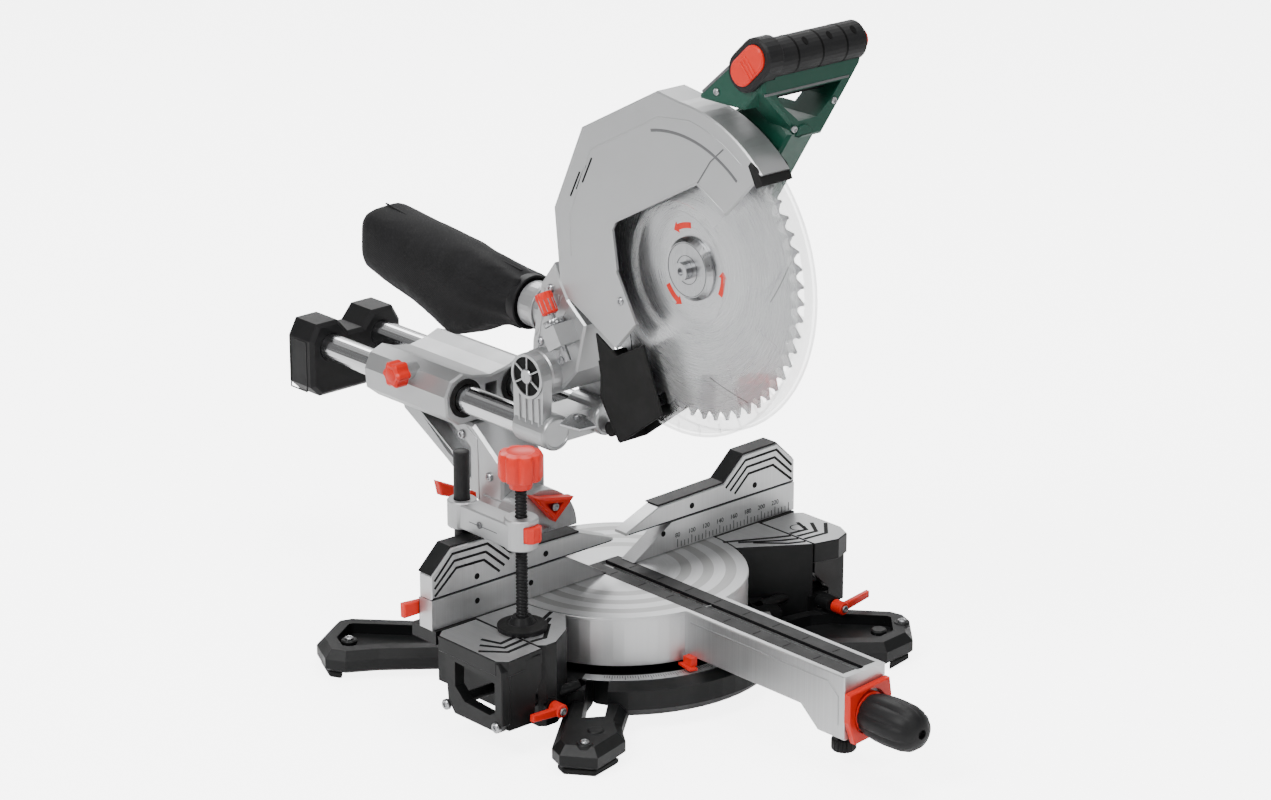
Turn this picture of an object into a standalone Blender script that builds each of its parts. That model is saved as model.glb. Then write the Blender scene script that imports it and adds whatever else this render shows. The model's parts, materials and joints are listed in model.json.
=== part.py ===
"""Sliding compound mitre saw, 305 mm, on its own four-footed base.

Sizes are millimetres here and are turned into metres when a mesh is made.
+X is the operator's right, +Y points away from the operator, +Z is up.
All shapes are drawn in the table frame: X = 0 is the blade plane, Y = 0 the fence face and
Z = 0 the table surface. One empty carries that frame to the middle of the object's box.
"""

import math

import bmesh
import bpy
from mathutils import Matrix, Vector

MM = 0.001
GAP = 0.3

# Driving dimensions.
TABLE_HEIGHT = 105.0
FRONT_REACH = 430.0
REAR_REACH = 472.0
LEVER_REACH = 265.0

FENCE_HALF = 248.0
FENCE_LOW = 32.0
FENCE_DEPTH = 19.0
HUB_R = 131.0
HUB_DEPTH = 52.0
RING_R = 172.0
ARM_HALF = 28.0
ARM_END = -352.0
INSERT_HALF = 22.0
SLOT_HALF = 5.0

BEVEL_R = 50.0
BEVEL_FRONT = 124.0
BEVEL_FACE = 150.0

RAIL_X = 35.0
RAIL_Z = 140.0
RAIL_R = 15.0
RAIL_FRONT = 66.0
RAIL_REAR = 447.0

PIVOT_Y = 84.0
PIVOT_Z = 198.0
BLADE_Y = -108.0
BLADE_Z = 347.0
BLADE_R = 152.5
BLADE_T = 2.4
BLADE_TEETH = 56
LOWER_GUARD_R = 165.0
UPPER_GUARD_R = 170.0
GUARD_LEFT = -26.0
GUARD_RIGHT = 12.0

MOTOR_Y = -70.0
MOTOR_Z = 386.0
MOTOR_R = 47.0
MOTOR_END = 112.0
GEAR_R = 45.0
PINION_R = 9.0

GRIP_Y = -212.0
GRIP_Z = 577.0
GRIP_LEFT = -24.0
GRIP_RIGHT = 114.0
GRIP_R = 19.0

CLAMP_X = -183.0
CLAMP_Y = 30.0
SCREW_X = -177.0
SCREW_Y = -53.0

FOOT_SIDE_TOP = -83.0
FOOT_TOP = -74.5
LEVER_Y = -112.0
LEVER_Z = -66.0
FOOT_PAD = 8.0

DEPTH_SCREW = (-37.0, 58.0, 259.0)
DEPTH_LEAN = -32.0

CENTRE_Y = (REAR_REACH - FRONT_REACH) / 2

COLOURS = {
    "cast_black": ((0.012, 0.013, 0.014), 0.45, 0.0),
    "rubber": ((0.010, 0.010, 0.010), 0.75, 0.0),
    "plastic_black": ((0.018, 0.018, 0.020), 0.5, 0.0),
    "aluminium": ((0.72, 0.73, 0.74), 0.38, 0.85),
    "paint_grey": ((0.56, 0.57, 0.58), 0.42, 0.3),
    "steel": ((0.62, 0.63, 0.65), 0.25, 1.0),
    "red": ((0.72, 0.05, 0.025), 0.42, 0.0),
    "green": ((0.02, 0.12, 0.075), 0.48, 0.0),
    "clear": ((0.85, 0.88, 0.88), 0.12, 0.0),
    "fabric": ((0.012, 0.012, 0.013), 0.85, 0.0),
}

PIVOTS = {}


def clear_scene():
    for obj in list(bpy.data.objects):
        bpy.data.objects.remove(obj, do_unlink=True)


def material(name):
    found = bpy.data.materials.get(name)
    if found:
        return found
    colour, roughness, metallic = COLOURS[name]
    made = bpy.data.materials.new(name)
    made.use_nodes = True
    shader = made.node_tree.nodes["Principled BSDF"]
    shader.inputs["Base Color"].default_value = (*colour, 1.0)
    shader.inputs["Roughness"].default_value = roughness
    shader.inputs["Metallic"].default_value = metallic
    return made


def pivot(name, at, parent=None):
    """An empty on a joint's axis; everything that turns or slides there hangs from it."""
    empty = bpy.data.objects.new("pivot_" + name, None)
    bpy.context.scene.collection.objects.link(empty)
    here = Vector(at) * MM
    if parent:
        empty.parent = PIVOTS[parent][0]
        empty.location = here - PIVOTS[parent][1]
    else:
        empty.location = (0, -CENTRE_Y * MM, TABLE_HEIGHT * MM)
    PIVOTS[name] = (empty, here)


def make(name, mesh_data, paint, holder, smooth=True):
    """An object from (points in mm, faces), hung from the pivot that carries it."""
    points, faces = mesh_data
    empty, origin = PIVOTS[holder]
    mesh = bpy.data.meshes.new(name)
    mesh.from_pydata([Vector(p) * MM - origin for p in points], [], faces)
    tidy = bmesh.new()
    tidy.from_mesh(mesh)
    bmesh.ops.remove_doubles(tidy, verts=tidy.verts, dist=1e-7)
    bmesh.ops.recalc_face_normals(tidy, faces=tidy.faces)
    tidy.to_mesh(mesh)
    tidy.free()
    if smooth:
        mesh.shade_smooth()
        mesh.set_sharp_from_angle(angle=math.radians(35))
    obj = bpy.data.objects.new(name, mesh)
    obj.data.materials.append(material(paint))
    obj.parent = empty
    bpy.context.scene.collection.objects.link(obj)
    return obj


def tool(obj):
    obj.hide_render = True
    obj.display_type = "WIRE"
    return obj


def boolean(obj, operation, others):
    """Unites or cuts with each (points, faces) shape in turn."""
    holder = next(name for name, (empty, _) in PIVOTS.items() if empty == obj.parent)
    for number, shape in enumerate(others):
        label = f"{obj.name}_{operation.lower()}_{len(obj.modifiers)}_{number}"
        other = tool(make(label, shape, "steel", holder, smooth=False))
        step = obj.modifiers.new(label, "BOOLEAN")
        step.operation = operation
        step.solver = "EXACT"
        step.object = other


def cut(obj, *shapes):
    boolean(obj, "DIFFERENCE", shapes)


def unite(obj, *shapes):
    boolean(obj, "UNION", shapes)


def frame_of(axis):
    """Two directions across an axis and the axis itself, right-handed."""
    return {
        "X": (Vector((0, 1, 0)), Vector((0, 0, 1)), Vector((1, 0, 0))),
        "Y": (Vector((1, 0, 0)), Vector((0, 0, 1)), Vector((0, 1, 0))),
        "Z": (Vector((1, 0, 0)), Vector((0, 1, 0)), Vector((0, 0, 1))),
    }[axis]


def prism(outline, axis, low, high, chamfer=0.0):
    """An outline drawn across an axis, pushed along it, with the end edges chamfered."""
    u, v, along = frame_of(axis)
    count = len(outline)
    if chamfer:
        levels = [(low, chamfer), (low + chamfer, 0), (high - chamfer, 0), (high, chamfer)]
    else:
        levels = [(low, 0), (high, 0)]
    points = []
    for level, inset in levels:
        ring = shrink(outline, inset) if inset else outline
        points += [u * a + v * b + along * level for a, b in ring]
    faces = [list(range(count)), list(range(len(points) - count, len(points)))]
    for ring in range(len(levels) - 1):
        for i in range(count):
            j = (i + 1) % count
            base = ring * count
            faces.append([base + i, base + j, base + count + j, base + count + i])
    return points, faces


def shrink(outline, inset):
    """The outline moved inwards by inset along each corner's mitre."""
    area = sum(a[0] * b[1] - b[0] * a[1] for a, b in zip(outline, outline[1:] + outline[:1]))
    side = 1.0 if area > 0 else -1.0
    moved = []
    for i, here in enumerate(outline):
        before = Vector(outline[i - 1])
        after = Vector(outline[(i + 1) % len(outline)])
        spot = Vector(here)
        first = (spot - before).normalized()
        second = (after - spot).normalized()
        normal_a = Vector((-first.y, first.x)) * side
        normal_b = Vector((-second.y, second.x)) * side
        mitre = normal_a + normal_b
        mitre /= max(mitre.dot(normal_a), 0.35)
        moved.append(tuple(spot + mitre * inset))
    return moved


def box(x0, x1, y0, y1, z0, z1, chamfer=0.0):
    return prism([(x0, y0), (x1, y0), (x1, y1), (x0, y1)], "Z", z0, z1, chamfer)


def circle(centre, radius, steps, start=0.0, end=360.0):
    """Points of an arc, in degrees; a full circle doesn't repeat its first point."""
    full = abs(end - start) >= 360.0
    count = steps if full else steps + 1
    turn = (end - start) / steps
    return [
        (
            centre[0] + radius * math.cos(math.radians(start + turn * i)),
            centre[1] + radius * math.sin(math.radians(start + turn * i)),
        )
        for i in range(count)
    ]


def stadium(a, b, radius, steps=12):
    """A round-ended slot shape about the line from a to b."""
    turn = math.degrees(math.atan2(b[1] - a[1], b[0] - a[0]))
    return circle(b, radius, steps, turn - 90, turn + 90) + circle(a, radius, steps, turn + 90, turn + 270)


def turned(profile, axis, centre, steps=32):
    """A closed (radius, along) profile spun round an axis through centre."""
    u, v, along = frame_of(axis)
    middle = u * centre[0] + v * centre[1]
    points = []
    index = []
    for radius, level in profile:
        if radius == 0:
            index.append([len(points)] * steps)
            points.append(middle + along * level)
            continue
        index.append(list(range(len(points), len(points) + steps)))
        for i in range(steps):
            angle = 2 * math.pi * i / steps
            across = u * math.cos(angle) + v * math.sin(angle)
            points.append(middle + across * radius + along * level)
    faces = []
    for row, following in zip(index, index[1:] + index[:1]):
        if row[0] == row[1] and following[0] == following[1]:
            continue
        for i in range(steps):
            j = (i + 1) % steps
            face = [row[i], row[j], following[j], following[i]]
            faces.append([p for k, p in enumerate(face) if p not in face[:k]])
    return points, faces


def rod(radius, axis, centre, low, high, steps=24, chamfer=0.0):
    if chamfer:
        inner = radius - chamfer
        rims = [(radius, high - chamfer), (radius, low + chamfer), (inner, low)]
        return turned([(0, high), (inner, high), *rims, (0, low)], axis, centre, steps)
    return turned([(0, high), (radius, high), (radius, low), (0, low)], axis, centre, steps)


def tube(outer, inner, axis, centre, low, high, steps=32):
    return turned([(inner, high), (outer, high), (outer, low), (inner, low)], axis, centre, steps)


def placed(shape, matrix):
    points, faces = shape
    return [matrix @ Vector(p) for p in points], faces


def mirrored(outline):
    return [(-a, b) for a, b in reversed(outline)]


def toothed(radius, depth, teeth, lean=0.0):
    """A wheel's outline: a sharp tip and a root for each tooth."""
    outline = []
    for i in range(teeth):
        tip = 360.0 * i / teeth
        for turn, reach in ((0.0, radius), (0.30 + lean, radius - depth), (0.62, radius - depth)):
            angle = math.radians(tip + turn * 360.0 / teeth)
            outline.append((reach * math.cos(angle), reach * math.sin(angle)))
    return outline


def at(outline, centre):
    return [(a + centre[0], b + centre[1]) for a, b in outline]


def place_pivots():
    pivot("base", (0, 0, 0))
    pivot("turntable", (0, 0, 0), "base")
    pivot("mitre_grip", (0, -380, -42), "turntable")
    pivot("detent", (0, -354, -30), "turntable")
    pivot("front_foot", (0, -325, -90), "turntable")
    for side, name in ((-1, "left"), (1, "right")):
        pivot("extension_" + name, (side * 195, -55, -40), "base")
        pivot("fence_" + name, (side * 120, 10, 45), "base")
        pivot("fence_lever_" + name, (side * 225, 25, 18), "base")
    pivot("extension_lever_left", (-182, LEVER_Y, LEVER_Z), "base")
    pivot("extension_lever_right", (207, LEVER_Y, LEVER_Z), "base")
    pivot("clamp_column", (CLAMP_X, CLAMP_Y, 0), "base")
    pivot("clamp_arm", (CLAMP_X, CLAMP_Y, 100), "clamp_column")
    pivot("clamp_pad", (SCREW_X, SCREW_Y, 6), "clamp_arm")
    pivot("clamp_screw", (SCREW_X, SCREW_Y, 20), "clamp_pad")
    pivot("clamp_release", (SCREW_X, SCREW_Y - 12, 104), "clamp_arm")
    pivot("bevel", (0, BEVEL_FACE, 0), "turntable")
    pivot("bevel_latch", (0, BEVEL_FRONT, 36), "turntable")
    pivot("tilt_lever", (0, 188, 0), "bevel")
    pivot("slide_knob", (-62, 265, 160), "bevel")
    pivot("rails", (0, RAIL_FRONT, RAIL_Z), "bevel")
    pivot("stop_plate", (-16, 47, 154), "rails")
    pivot("roller", (RAIL_X, 46, 132), "rails")
    pivot("head", (0, PIVOT_Y, PIVOT_Z), "rails")
    pivot("depth_screw", DEPTH_SCREW, "head")
    pivot("arbor", (0, BLADE_Y, BLADE_Z), "head")
    pivot("motor", (0, MOTOR_Y, MOTOR_Z), "head")
    pivot("lower_guard", (0, BLADE_Y, BLADE_Z), "head")
    pivot("trigger", (44, GRIP_Y + 8, GRIP_Z - 33), "head")
    pivot("lock_left", (GRIP_LEFT - 4, GRIP_Y, GRIP_Z), "head")
    pivot("lock_right", (GRIP_RIGHT, GRIP_Y, GRIP_Z), "head")


LEGS = {
    "front_left": [
        (-62, -92), (-140, -158), (-158, -184), (-205, -196), (-228, -166), (-222, -148), (-120, -60),
    ],
    "front_right": [
        (90, -120), (186, -202), (228, -198), (264, -158), (260, -138), (217, -88), (190, -74),
        (120, -60),
    ],
    "rear_left": [
        (-150, 85), (-210, 134), (-240, 152), (-250, 172), (-234, 207), (-190, 234), (-172, 228),
        (-100, 150),
    ],
}
LEGS["rear_right"] = mirrored(LEGS["rear_left"])


def foot_outline(leg):
    """The leg's outer end, which the rubber pad covers from below."""
    middle = [sum(p[k] for p in leg) / len(leg) for k in (0, 1)]
    reach = math.hypot(*middle)
    way = (middle[0] / reach, middle[1] / reach)
    far = [p for p in leg if p[0] * way[0] + p[1] * way[1] > reach + 20]
    return shrink(far, 4.0)


def leg(outline):
    """A leg with upright sides below and sides that lean in above."""
    count = len(outline)
    levels = (
        (-TABLE_HEIGHT + FOOT_PAD + GAP, 3.0),
        (-TABLE_HEIGHT + FOOT_PAD + GAP + 3, 0.0),
        (FOOT_SIDE_TOP, 0.0),
        (FOOT_TOP, 8.0),
    )
    points = []
    for level, inset in levels:
        points += [(a, b, level) for a, b in (shrink(outline, inset) if inset else outline)]
    faces = [list(range(count)), list(range(3 * count, 4 * count))]
    for ring in range(3):
        for i in range(count):
            j = (i + 1) % count
            base = ring * count
            faces.append([base + i, base + j, base + count + j, base + count + i])
    return points, faces


def base_casting():
    floor = [
        (14, -86), (RING_R - 10, -92), (RING_R, -82), (RING_R, -62), (158, -57), (142, -57), (142, -66),
        (14, -66),
    ]
    obj = make("base_casting", turned(floor, "Z", (0, 0), 64), "cast_black", "base")
    rear = circle((0, 0), 175, 20, -4, 184) + circle((0, 0), 135, 20, 184, -4)
    unite(obj, prism(rear, "Z", -70, -23))
    left = [(-194, -96), (-188, -101), (-174, -101), (-146, -84), (-110, -30), (-110, 58), (-194, 58)]
    right = [(194, -84), (194, 58), (110, 58), (110, -30), (127, -38)]
    for outline in (left, right):
        unite(obj, prism(outline, "Z", -86, 0))
    for side in (-1, 1):
        ends = sorted((side * 180, side * (FENCE_HALF - 2)))
        unite(obj, box(*ends, -3, 34, -14, 0))
    for outline in LEGS.values():
        unite(obj, leg(outline))
    unite(obj, prism([(-60, 120), (-60, 178), (60, 178), (60, 120)], "Z", -92, -60))
    for x, back in ((-182, -97), (207, -78)):
        unite(obj, rod(9, "Y", (x, LEVER_Z), LEVER_Y + 8, back, 20))
    unite(obj, box(190, 216, -84, -72, -82, -58))
    cut(obj, rod(HUB_R + 1, "Z", (0, 0), -66, 10, 64), *hollows())
    return obj


def hollows():
    """Openings in the base: wing hollows, rod holes, column socket and the holes through the legs."""
    shapes = []
    for side in (-1, 1):
        low, high = sorted((side * 138, side * 184))
        shapes.append(box(low, high, -2, 50, -100, -12))
    for y in (-40, -90):
        shapes.append(rod(6.0, "X", (y, -60), -200, -130, 16))
    for y in (-24, -64):
        shapes.append(rod(6.0, "X", (y, -60), 130, 200, 16))
    shapes.append(rod(8.7, "Z", (CLAMP_X, CLAMP_Y), -60, 10, 24))
    window = [(-101, -72), (-120, -84), (-166, -128), (-146, -140), (-92, -90)]
    shapes.append(prism(window, "Z", -110, -50))
    shapes.append(prism(shrink(LEGS["front_right"], 20), "Z", -86, -50))
    shapes.append(prism(shrink(LEGS["rear_left"], 20), "Z", -86, -50))
    shapes.append(prism(shrink(LEGS["rear_right"], 20), "Z", -86, -50))
    return shapes


def fences():
    lower = [(-FENCE_HALF, 0.6), (-19, 0.6), (-72, FENCE_LOW), (-FENCE_HALF, FENCE_LOW)]
    upper = [
        (-FENCE_HALF, 33), (-9, 33), (-9, 36), (-53, 53), (-146, 55), (-174, 80), (-222, 81),
        (-FENCE_HALF, 57),
    ]
    for name, flip in (("left", False), ("right", True)):
        low_outline = mirrored(lower) if flip else lower
        high_outline = mirrored(upper) if flip else upper
        side = 1 if flip else -1
        make("fence_" + name, prism(low_outline, "Y", 0, FENCE_DEPTH), "aluminium", "base")
        make(
            "fence_upper_" + name, prism(high_outline, "Y", 0, FENCE_DEPTH, 1.0), "aluminium",
            "fence_" + name,
        )
        hub = (side * 225, 18)
        ends = sorted((side * 227, side * LEVER_REACH))
        lever = make(
            "fence_lever_" + name, rod(9, "Y", hub, FENCE_DEPTH + GAP, 31, 20, 1.0), "red",
            "fence_lever_" + name,
        )
        tab = [(ends[0], 12), (ends[1], 12), (ends[1], 27), (ends[0], 24)]
        if not flip:
            tab = [(ends[0], 12), (ends[1], 12), (ends[1], 24), (ends[0], 27)]
        unite(lever, prism(tab, "Y", 21, 29, 1.0))


def extension_rods(obj, inner, outer, places):
    ends = sorted((inner, outer))
    unite(obj, *[rod(5.7, "X", (y, -60), *ends, 16) for y in places])


def extension_left():
    plate = [(-195.6, -104), (-241, -108), (-250, -98), (-250, -12), (-240, -4), (-195.6, -4)]
    wall = [(-8, -2), (-102, -2), (-107, -10), (-107, -66), (-99, -76), (-34, -76), (-24, -64), (-20, -18)]
    window = [(-36, -20), (-96, -24), (-96, -55), (-88, -60), (-50, -58), (-36, -46)]
    obj = make("extension_left", prism(plate, "Z", -16, 0, 0.8), "cast_black", "extension_left")
    unite(obj, prism(wall, "X", -249.5, -238, 1.0))
    unite(
        obj,
        prism([(-240, -5), (-198, -5), (-198, -30), (-206, -44), (-208, -74), (-240, -74)], "Y", -106, -98),
    )
    extension_rods(obj, -138, -240, (-40, -90))
    cut(obj, prism(window, "X", -256, -230))


def extension_right():
    plate = [(195.6, -85), (224, -92), (243, -85), (251, -68), (251, -12), (241, -4), (195.6, -4)]
    obj = make("extension_right", prism(plate, "Z", -22, 0, 0.8), "cast_black", "extension_right")
    wall = [(-14, -5), (-78, -5), (-78, -74), (-34, -74), (-20, -60)]
    unite(obj, prism(wall, "X", 232, 242, 1.0))
    unite(obj, prism([(241, -5), (198, -5), (198, -34), (219, -56), (219, -74), (241, -74)], "Y", -83, -74))
    extension_rods(obj, 138, 238, (-24, -64))


def extension_lever(name, x, tip, rise):
    """A clamp lever on a hub that stands off the front of the base."""
    holder = "extension_lever_" + name
    hub = rod(7, "Y", (x, LEVER_Z), LEVER_Y - 7, LEVER_Y + 8 - GAP, 20, 1.0)
    obj = make(holder, hub, "red", holder)
    bar = [(x, LEVER_Z - 5), (x, LEVER_Z + 4), (tip, LEVER_Z + rise + 4), (tip, LEVER_Z + rise - 3)]
    unite(obj, prism(bar, "Y", LEVER_Y - 5, LEVER_Y + 1, 0.8))


def foot_pads():
    for name, leg in LEGS.items():
        pad = prism(foot_outline(leg), "Z", -TABLE_HEIGHT, -TABLE_HEIGHT + FOOT_PAD, 2.0)
        make("foot_pad_" + name, pad, "rubber", "base")


def turntable():
    profile = [
        (0, 0), (HUB_R, 0), (HUB_R, -HUB_DEPTH), (121, -HUB_DEPTH), (121, -18), (30, -18), (30, -65.7),
    ]
    profile += [(8.4, -65.7), (8.4, -24), (0, -24)]
    obj = make("turntable", turned(profile, "Z", (0, 0), 72), "aluminium", "turntable")
    side = [(-100, 0), (ARM_END, 0), (ARM_END, -66), (-316, -66), (-292, -46), (-100, -46)]
    unite(obj, prism(side, "X", -ARM_HALF, ARM_HALF, 1.0))
    unite(obj, box(-36, 36, 100, 150, -22, 0, 1.0))
    cut(
        obj,
        box(-SLOT_HALF, SLOT_HALF, -346, 12, -17, 5),
        box(-INSERT_HALF, INSERT_HALF, -344, 28, -3.6, 5),
        rod(9, "Y", (0, 0), 96, 160, 24),
        rod(14.5, "Y", (0, 0), 108, 123.7, 24),
        box(-14, 14, -300, -150, -50, -34),
        rod(6.4, "Z", (0, -325), -80, -30, 16),
    )
    for name, ends in (("left", (-INSERT_HALF + GAP, -SLOT_HALF)), ("right", (SLOT_HALF, INSERT_HALF - GAP))):
        shape = box(ends[0], ends[1], -343.5, 27.5, -3.3, 0)
        make("kerf_insert_" + name, shape, "plastic_black", "turntable", smooth=False)
    pointer = [(-37, -128), (-29, -133), (-33, -152), (-41, -149)]
    pointer_obj = make("mitre_pointer", prism(pointer, "Z", -55, -52.5), "red", "turntable")
    unite(pointer_obj, box(-36, -ARM_HALF - GAP, -146, -134, -53, -44))
    bolt = [(0, -25), (8, -25), (8, -86.5), (15, -86.5), (15, -94), (0, -94)]
    make("pivot_bolt", turned(bolt, "Z", (0, 0), 24), "steel", "base")


def mitre_controls():
    grip = [
        (0, -353), (16, -353), (20, -358), (22.5, -372), (24, -392), (23.5, -410), (19, -424),
        (10, -430), (0, -430),
    ]
    obj = make("mitre_lock_grip", turned(grip, "Y", (0, -42), 24), "plastic_black", "mitre_grip")
    cut(obj, rod(5, "Y", (0, -42), -440, -420, 6))
    plate = [(-29, -16), (26, -12), (29, -30), (24, -66), (-20, -70), (-29, -46)]
    lever = make("detent_lever", prism(plate, "Y", -352.6 - 8, -352.6, 1.0), "red", "detent")
    cut(lever, prism(stadium((0, -42), (0, -38), 21.5), "Y", -375, -340))
    foot = [(0, -36), (6, -36), (6, -78), (11.5, -78), (12.5, -80), (12.5, -90), (11, -92), (0, -92)]
    make("front_foot", turned(foot, "Z", (0, -325), 24), "plastic_black", "front_foot")


def hold_down():
    column = rod(8.2, "Z", (CLAMP_X, CLAMP_Y), -56, 165, 24, 1.0)
    make("clamp_column", column, "plastic_black", "clamp_column")
    ring = rod(15, "Z", (CLAMP_X, CLAMP_Y), 87, 115, 24, 1.0)
    arm = make("clamp_arm", ring, "paint_grey", "clamp_arm")
    unite(arm, box(CLAMP_X - 11, CLAMP_X + 12, SCREW_Y, CLAMP_Y - 4, 88, 114, 1.5))
    unite(arm, rod(17, "Z", (SCREW_X, SCREW_Y), 86, 118, 24, 1.5))
    cut(
        arm,
        rod(8.6, "Z", (CLAMP_X, CLAMP_Y), 80, 125, 24),
        rod(6.6, "Z", (SCREW_X, SCREW_Y), 80, 125, 20),
        box(SCREW_X - 9.4, SCREW_X + 10.4, SCREW_Y - 30, SCREW_Y - 8.2, 95.5, 112.5),
    )
    button = [(-9, -12), (-9, -19), (-4, -23), (5, -23), (10, -19), (10, -12)]
    make(
        "clamp_release", prism(at(button, (SCREW_X, SCREW_Y)), "Z", 96, 112, 1.0), "red",
        "clamp_release",
    )
    screw = rod(6, "Z", (SCREW_X, SCREW_Y), 8, 170, 16)
    make("clamp_screw", screw, "plastic_black", "clamp_screw")
    lobes = [
        (21 + 1.6 * math.cos(8 * math.radians(a))) * Vector(
            (math.cos(math.radians(a)), math.sin(math.radians(a))),
        )
        for a in range(0, 360, 10)
    ]
    knob = make(
        "clamp_knob", prism(at([tuple(p) for p in lobes], (SCREW_X, SCREW_Y)), "Z", 156, 187, 3.0),
        "red", "clamp_screw",
    )
    unite(knob, rod(11, "Z", (SCREW_X, SCREW_Y), 148, 160, 20))
    cut(knob, rod(6 + GAP, "Z", (SCREW_X, SCREW_Y), 140, 170.3, 16))
    pad = [(6.3, 14), (9.5, 14), (13, 7), (25, 4.5), (25, 0.4), (0, 0.4), (0, 7.7), (6.3, 7.7)]
    make("clamp_pad", turned(pad, "Z", (SCREW_X, SCREW_Y), 28), "plastic_black", "clamp_pad")


def bevel_group():
    drum = make(
        "bevel_drum",
        prism(circle((0, 0), BEVEL_R, 24, 0.4, 179.6), "Y", BEVEL_FRONT, BEVEL_FACE - GAP), "aluminium",
        "turntable",
    )
    cut(drum, rod(8.4, "Y", (0, 0), 100, 160, 24))
    latch = [(-22, 52), (-4, 46), (36, 38), (10, 16)]
    latch_obj = make(
        "bevel_latch", prism(latch, "Y", BEVEL_FRONT - 14, BEVEL_FRONT - GAP, 2.0), "red",
        "bevel_latch",
    )
    cut(latch_obj, prism([(-6, 41), (20, 36), (9, 25)], "Y", BEVEL_FRONT - 20, BEVEL_FRONT - 5))

    sector = [(0, 0), *circle((0, 0), BEVEL_R - 1, 16, 8, 130)]
    arm = make("tilt_arm", prism(sector, "Y", BEVEL_FACE, 180), "paint_grey", "bevel")
    side = [
        (BEVEL_FACE, 26), (BEVEL_FACE, 76), (196, 111), (318, 111), (312, 98), (240, 58), (181, 20),
        (172, 26),
    ]
    unite(arm, rod(20, "Y", (0, 0), BEVEL_FACE, 180, 32), prism(side, "X", -30, 30, 3.0))
    cut(
        arm,
        rod(8.4, "Y", (0, 0), 140, 190, 24),
        prism([(200, 50), (200, 86), (232, 104), (286, 104), (240, 70)], "X", 8, 40),
        prism([(200, 50), (200, 86), (232, 104), (286, 104), (240, 70)], "X", -40, -8),
    )
    bolt = [(0, 112), (13, 112), (13, 123.4), (8, 123.4), (8, 198), (0, 198)]
    make("bevel_bolt", turned(bolt, "Y", (0, 0), 24), "steel", "turntable")

    lever = make("tilt_lock_lever", tube(14, 8.4, "Y", (0, 0), 180.3, 195, 24), "red", "tilt_lever")
    handle = [(-6, 13), (-34, 19), (-37, 41), (-88, 66), (-84, 49), (-60, 40), (-41, 10), (-8, -12)]
    unite(lever, prism(handle, "Y", 183, 193, 1.5))
    cut(lever, rod(8.4, "Y", (0, 0), 170, 200, 24))


def rail_housing():
    half = [(0, 111.4), (44, 111.4), (60, 124), (62, 146), (54, 162), (38, 168), (22, 162), (0, 158)]
    outline = half + [(-a, b) for a, b in reversed(half[1:-1])]
    obj = make("rail_housing", prism(outline, "Y", 202, 338, 2.0), "paint_grey", "bevel")
    unite(obj, rod(9, "X", (265, 160), -65.6, -50.5, 20))
    for x in (-RAIL_X, RAIL_X):
        bore = RAIL_R + GAP
        steps = [(0, 350), (bore, 350), (bore, 220), (21, 220), (21, 190), (0, 190)]
        cut(obj, turned(steps, "Y", (x, RAIL_Z), 32))
    cut(obj, box(-8, 8, 190, 350, 118, 150))
    lobes = [
        (13 + 1.5 * math.cos(6 * math.radians(a))) * Vector(
            (math.cos(math.radians(a)), math.sin(math.radians(a))),
        )
        for a in range(0, 360, 12)
    ]
    spot = (265, 160)
    knob = make(
        "slide_lock_knob", prism(at([tuple(p) for p in lobes], spot), "X", -84, -66, 2.0), "red",
        "slide_knob",
    )
    unite(knob, rod(4, "X", spot, -70, -54, 16))
    cut(obj, rod(4 + GAP, "X", spot, -70, -53.5, 16))


def rail_group():
    for name, x in (("left", -RAIL_X), ("right", RAIL_X)):
        make("rail_" + name, rod(RAIL_R, "Y", (x, RAIL_Z), RAIL_FRONT, RAIL_REAR, 32), "steel", "rails")
    bracket = make("rail_bracket", rod(19, "Y", (-RAIL_X, RAIL_Z), 58, 106, 32, 1.5), "paint_grey", "rails")
    unite(
        bracket,
        rod(19, "Y", (RAIL_X, RAIL_Z), 58, 106, 32, 1.5),
        box(-RAIL_X, RAIL_X, 66, 104, 124, 152),
    )
    cheek = [
        (62, 142), (106, 142), (107, PIVOT_Z), *circle((PIVOT_Y, PIVOT_Z), 24, 12, 10, 180),
        (60.5, 186),
    ]
    for low, high in ((-50, -38), (38, 50)):
        unite(bracket, prism(cheek, "X", low, high))
    cut(
        bracket,
        rod(8 + GAP, "X", (PIVOT_Y, PIVOT_Z), -60, 60, 24),
        rod(RAIL_R + GAP, "Y", (-RAIL_X, RAIL_Z), RAIL_FRONT - GAP, 120, 32),
        rod(RAIL_R + GAP, "Y", (RAIL_X, RAIL_Z), RAIL_FRONT - GAP, 120, 32),
    )
    half = [(0, 86), (50, 86), (62, 98), (62, 150), (52, 168), (24, 168), (10, 152), (0, 152)]
    outline = half + [(-a, b) for a, b in reversed(half[1:-1])]
    cap = make("rail_end_cap", prism(outline, "Y", 428, REAR_REACH, 4.0), "plastic_black", "rails")
    for x in (-RAIL_X, RAIL_X):
        cut(cap, rod(RAIL_R + GAP, "Y", (x, RAIL_Z), 420, RAIL_REAR + GAP, 32))
    plate = circle((-16, 47), 10, 12, -60, 120) + [(-42, 44), (-38, 18), (-18, 16)]
    make("depth_stop_plate", prism(plate, "Z", 153, 156, 0.5), "steel", "stop_plate")
    make("bump_roller", rod(8, "X", (46, 132), RAIL_X - 8, RAIL_X + 4, 20, 1.0), "rubber", "roller")


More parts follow.
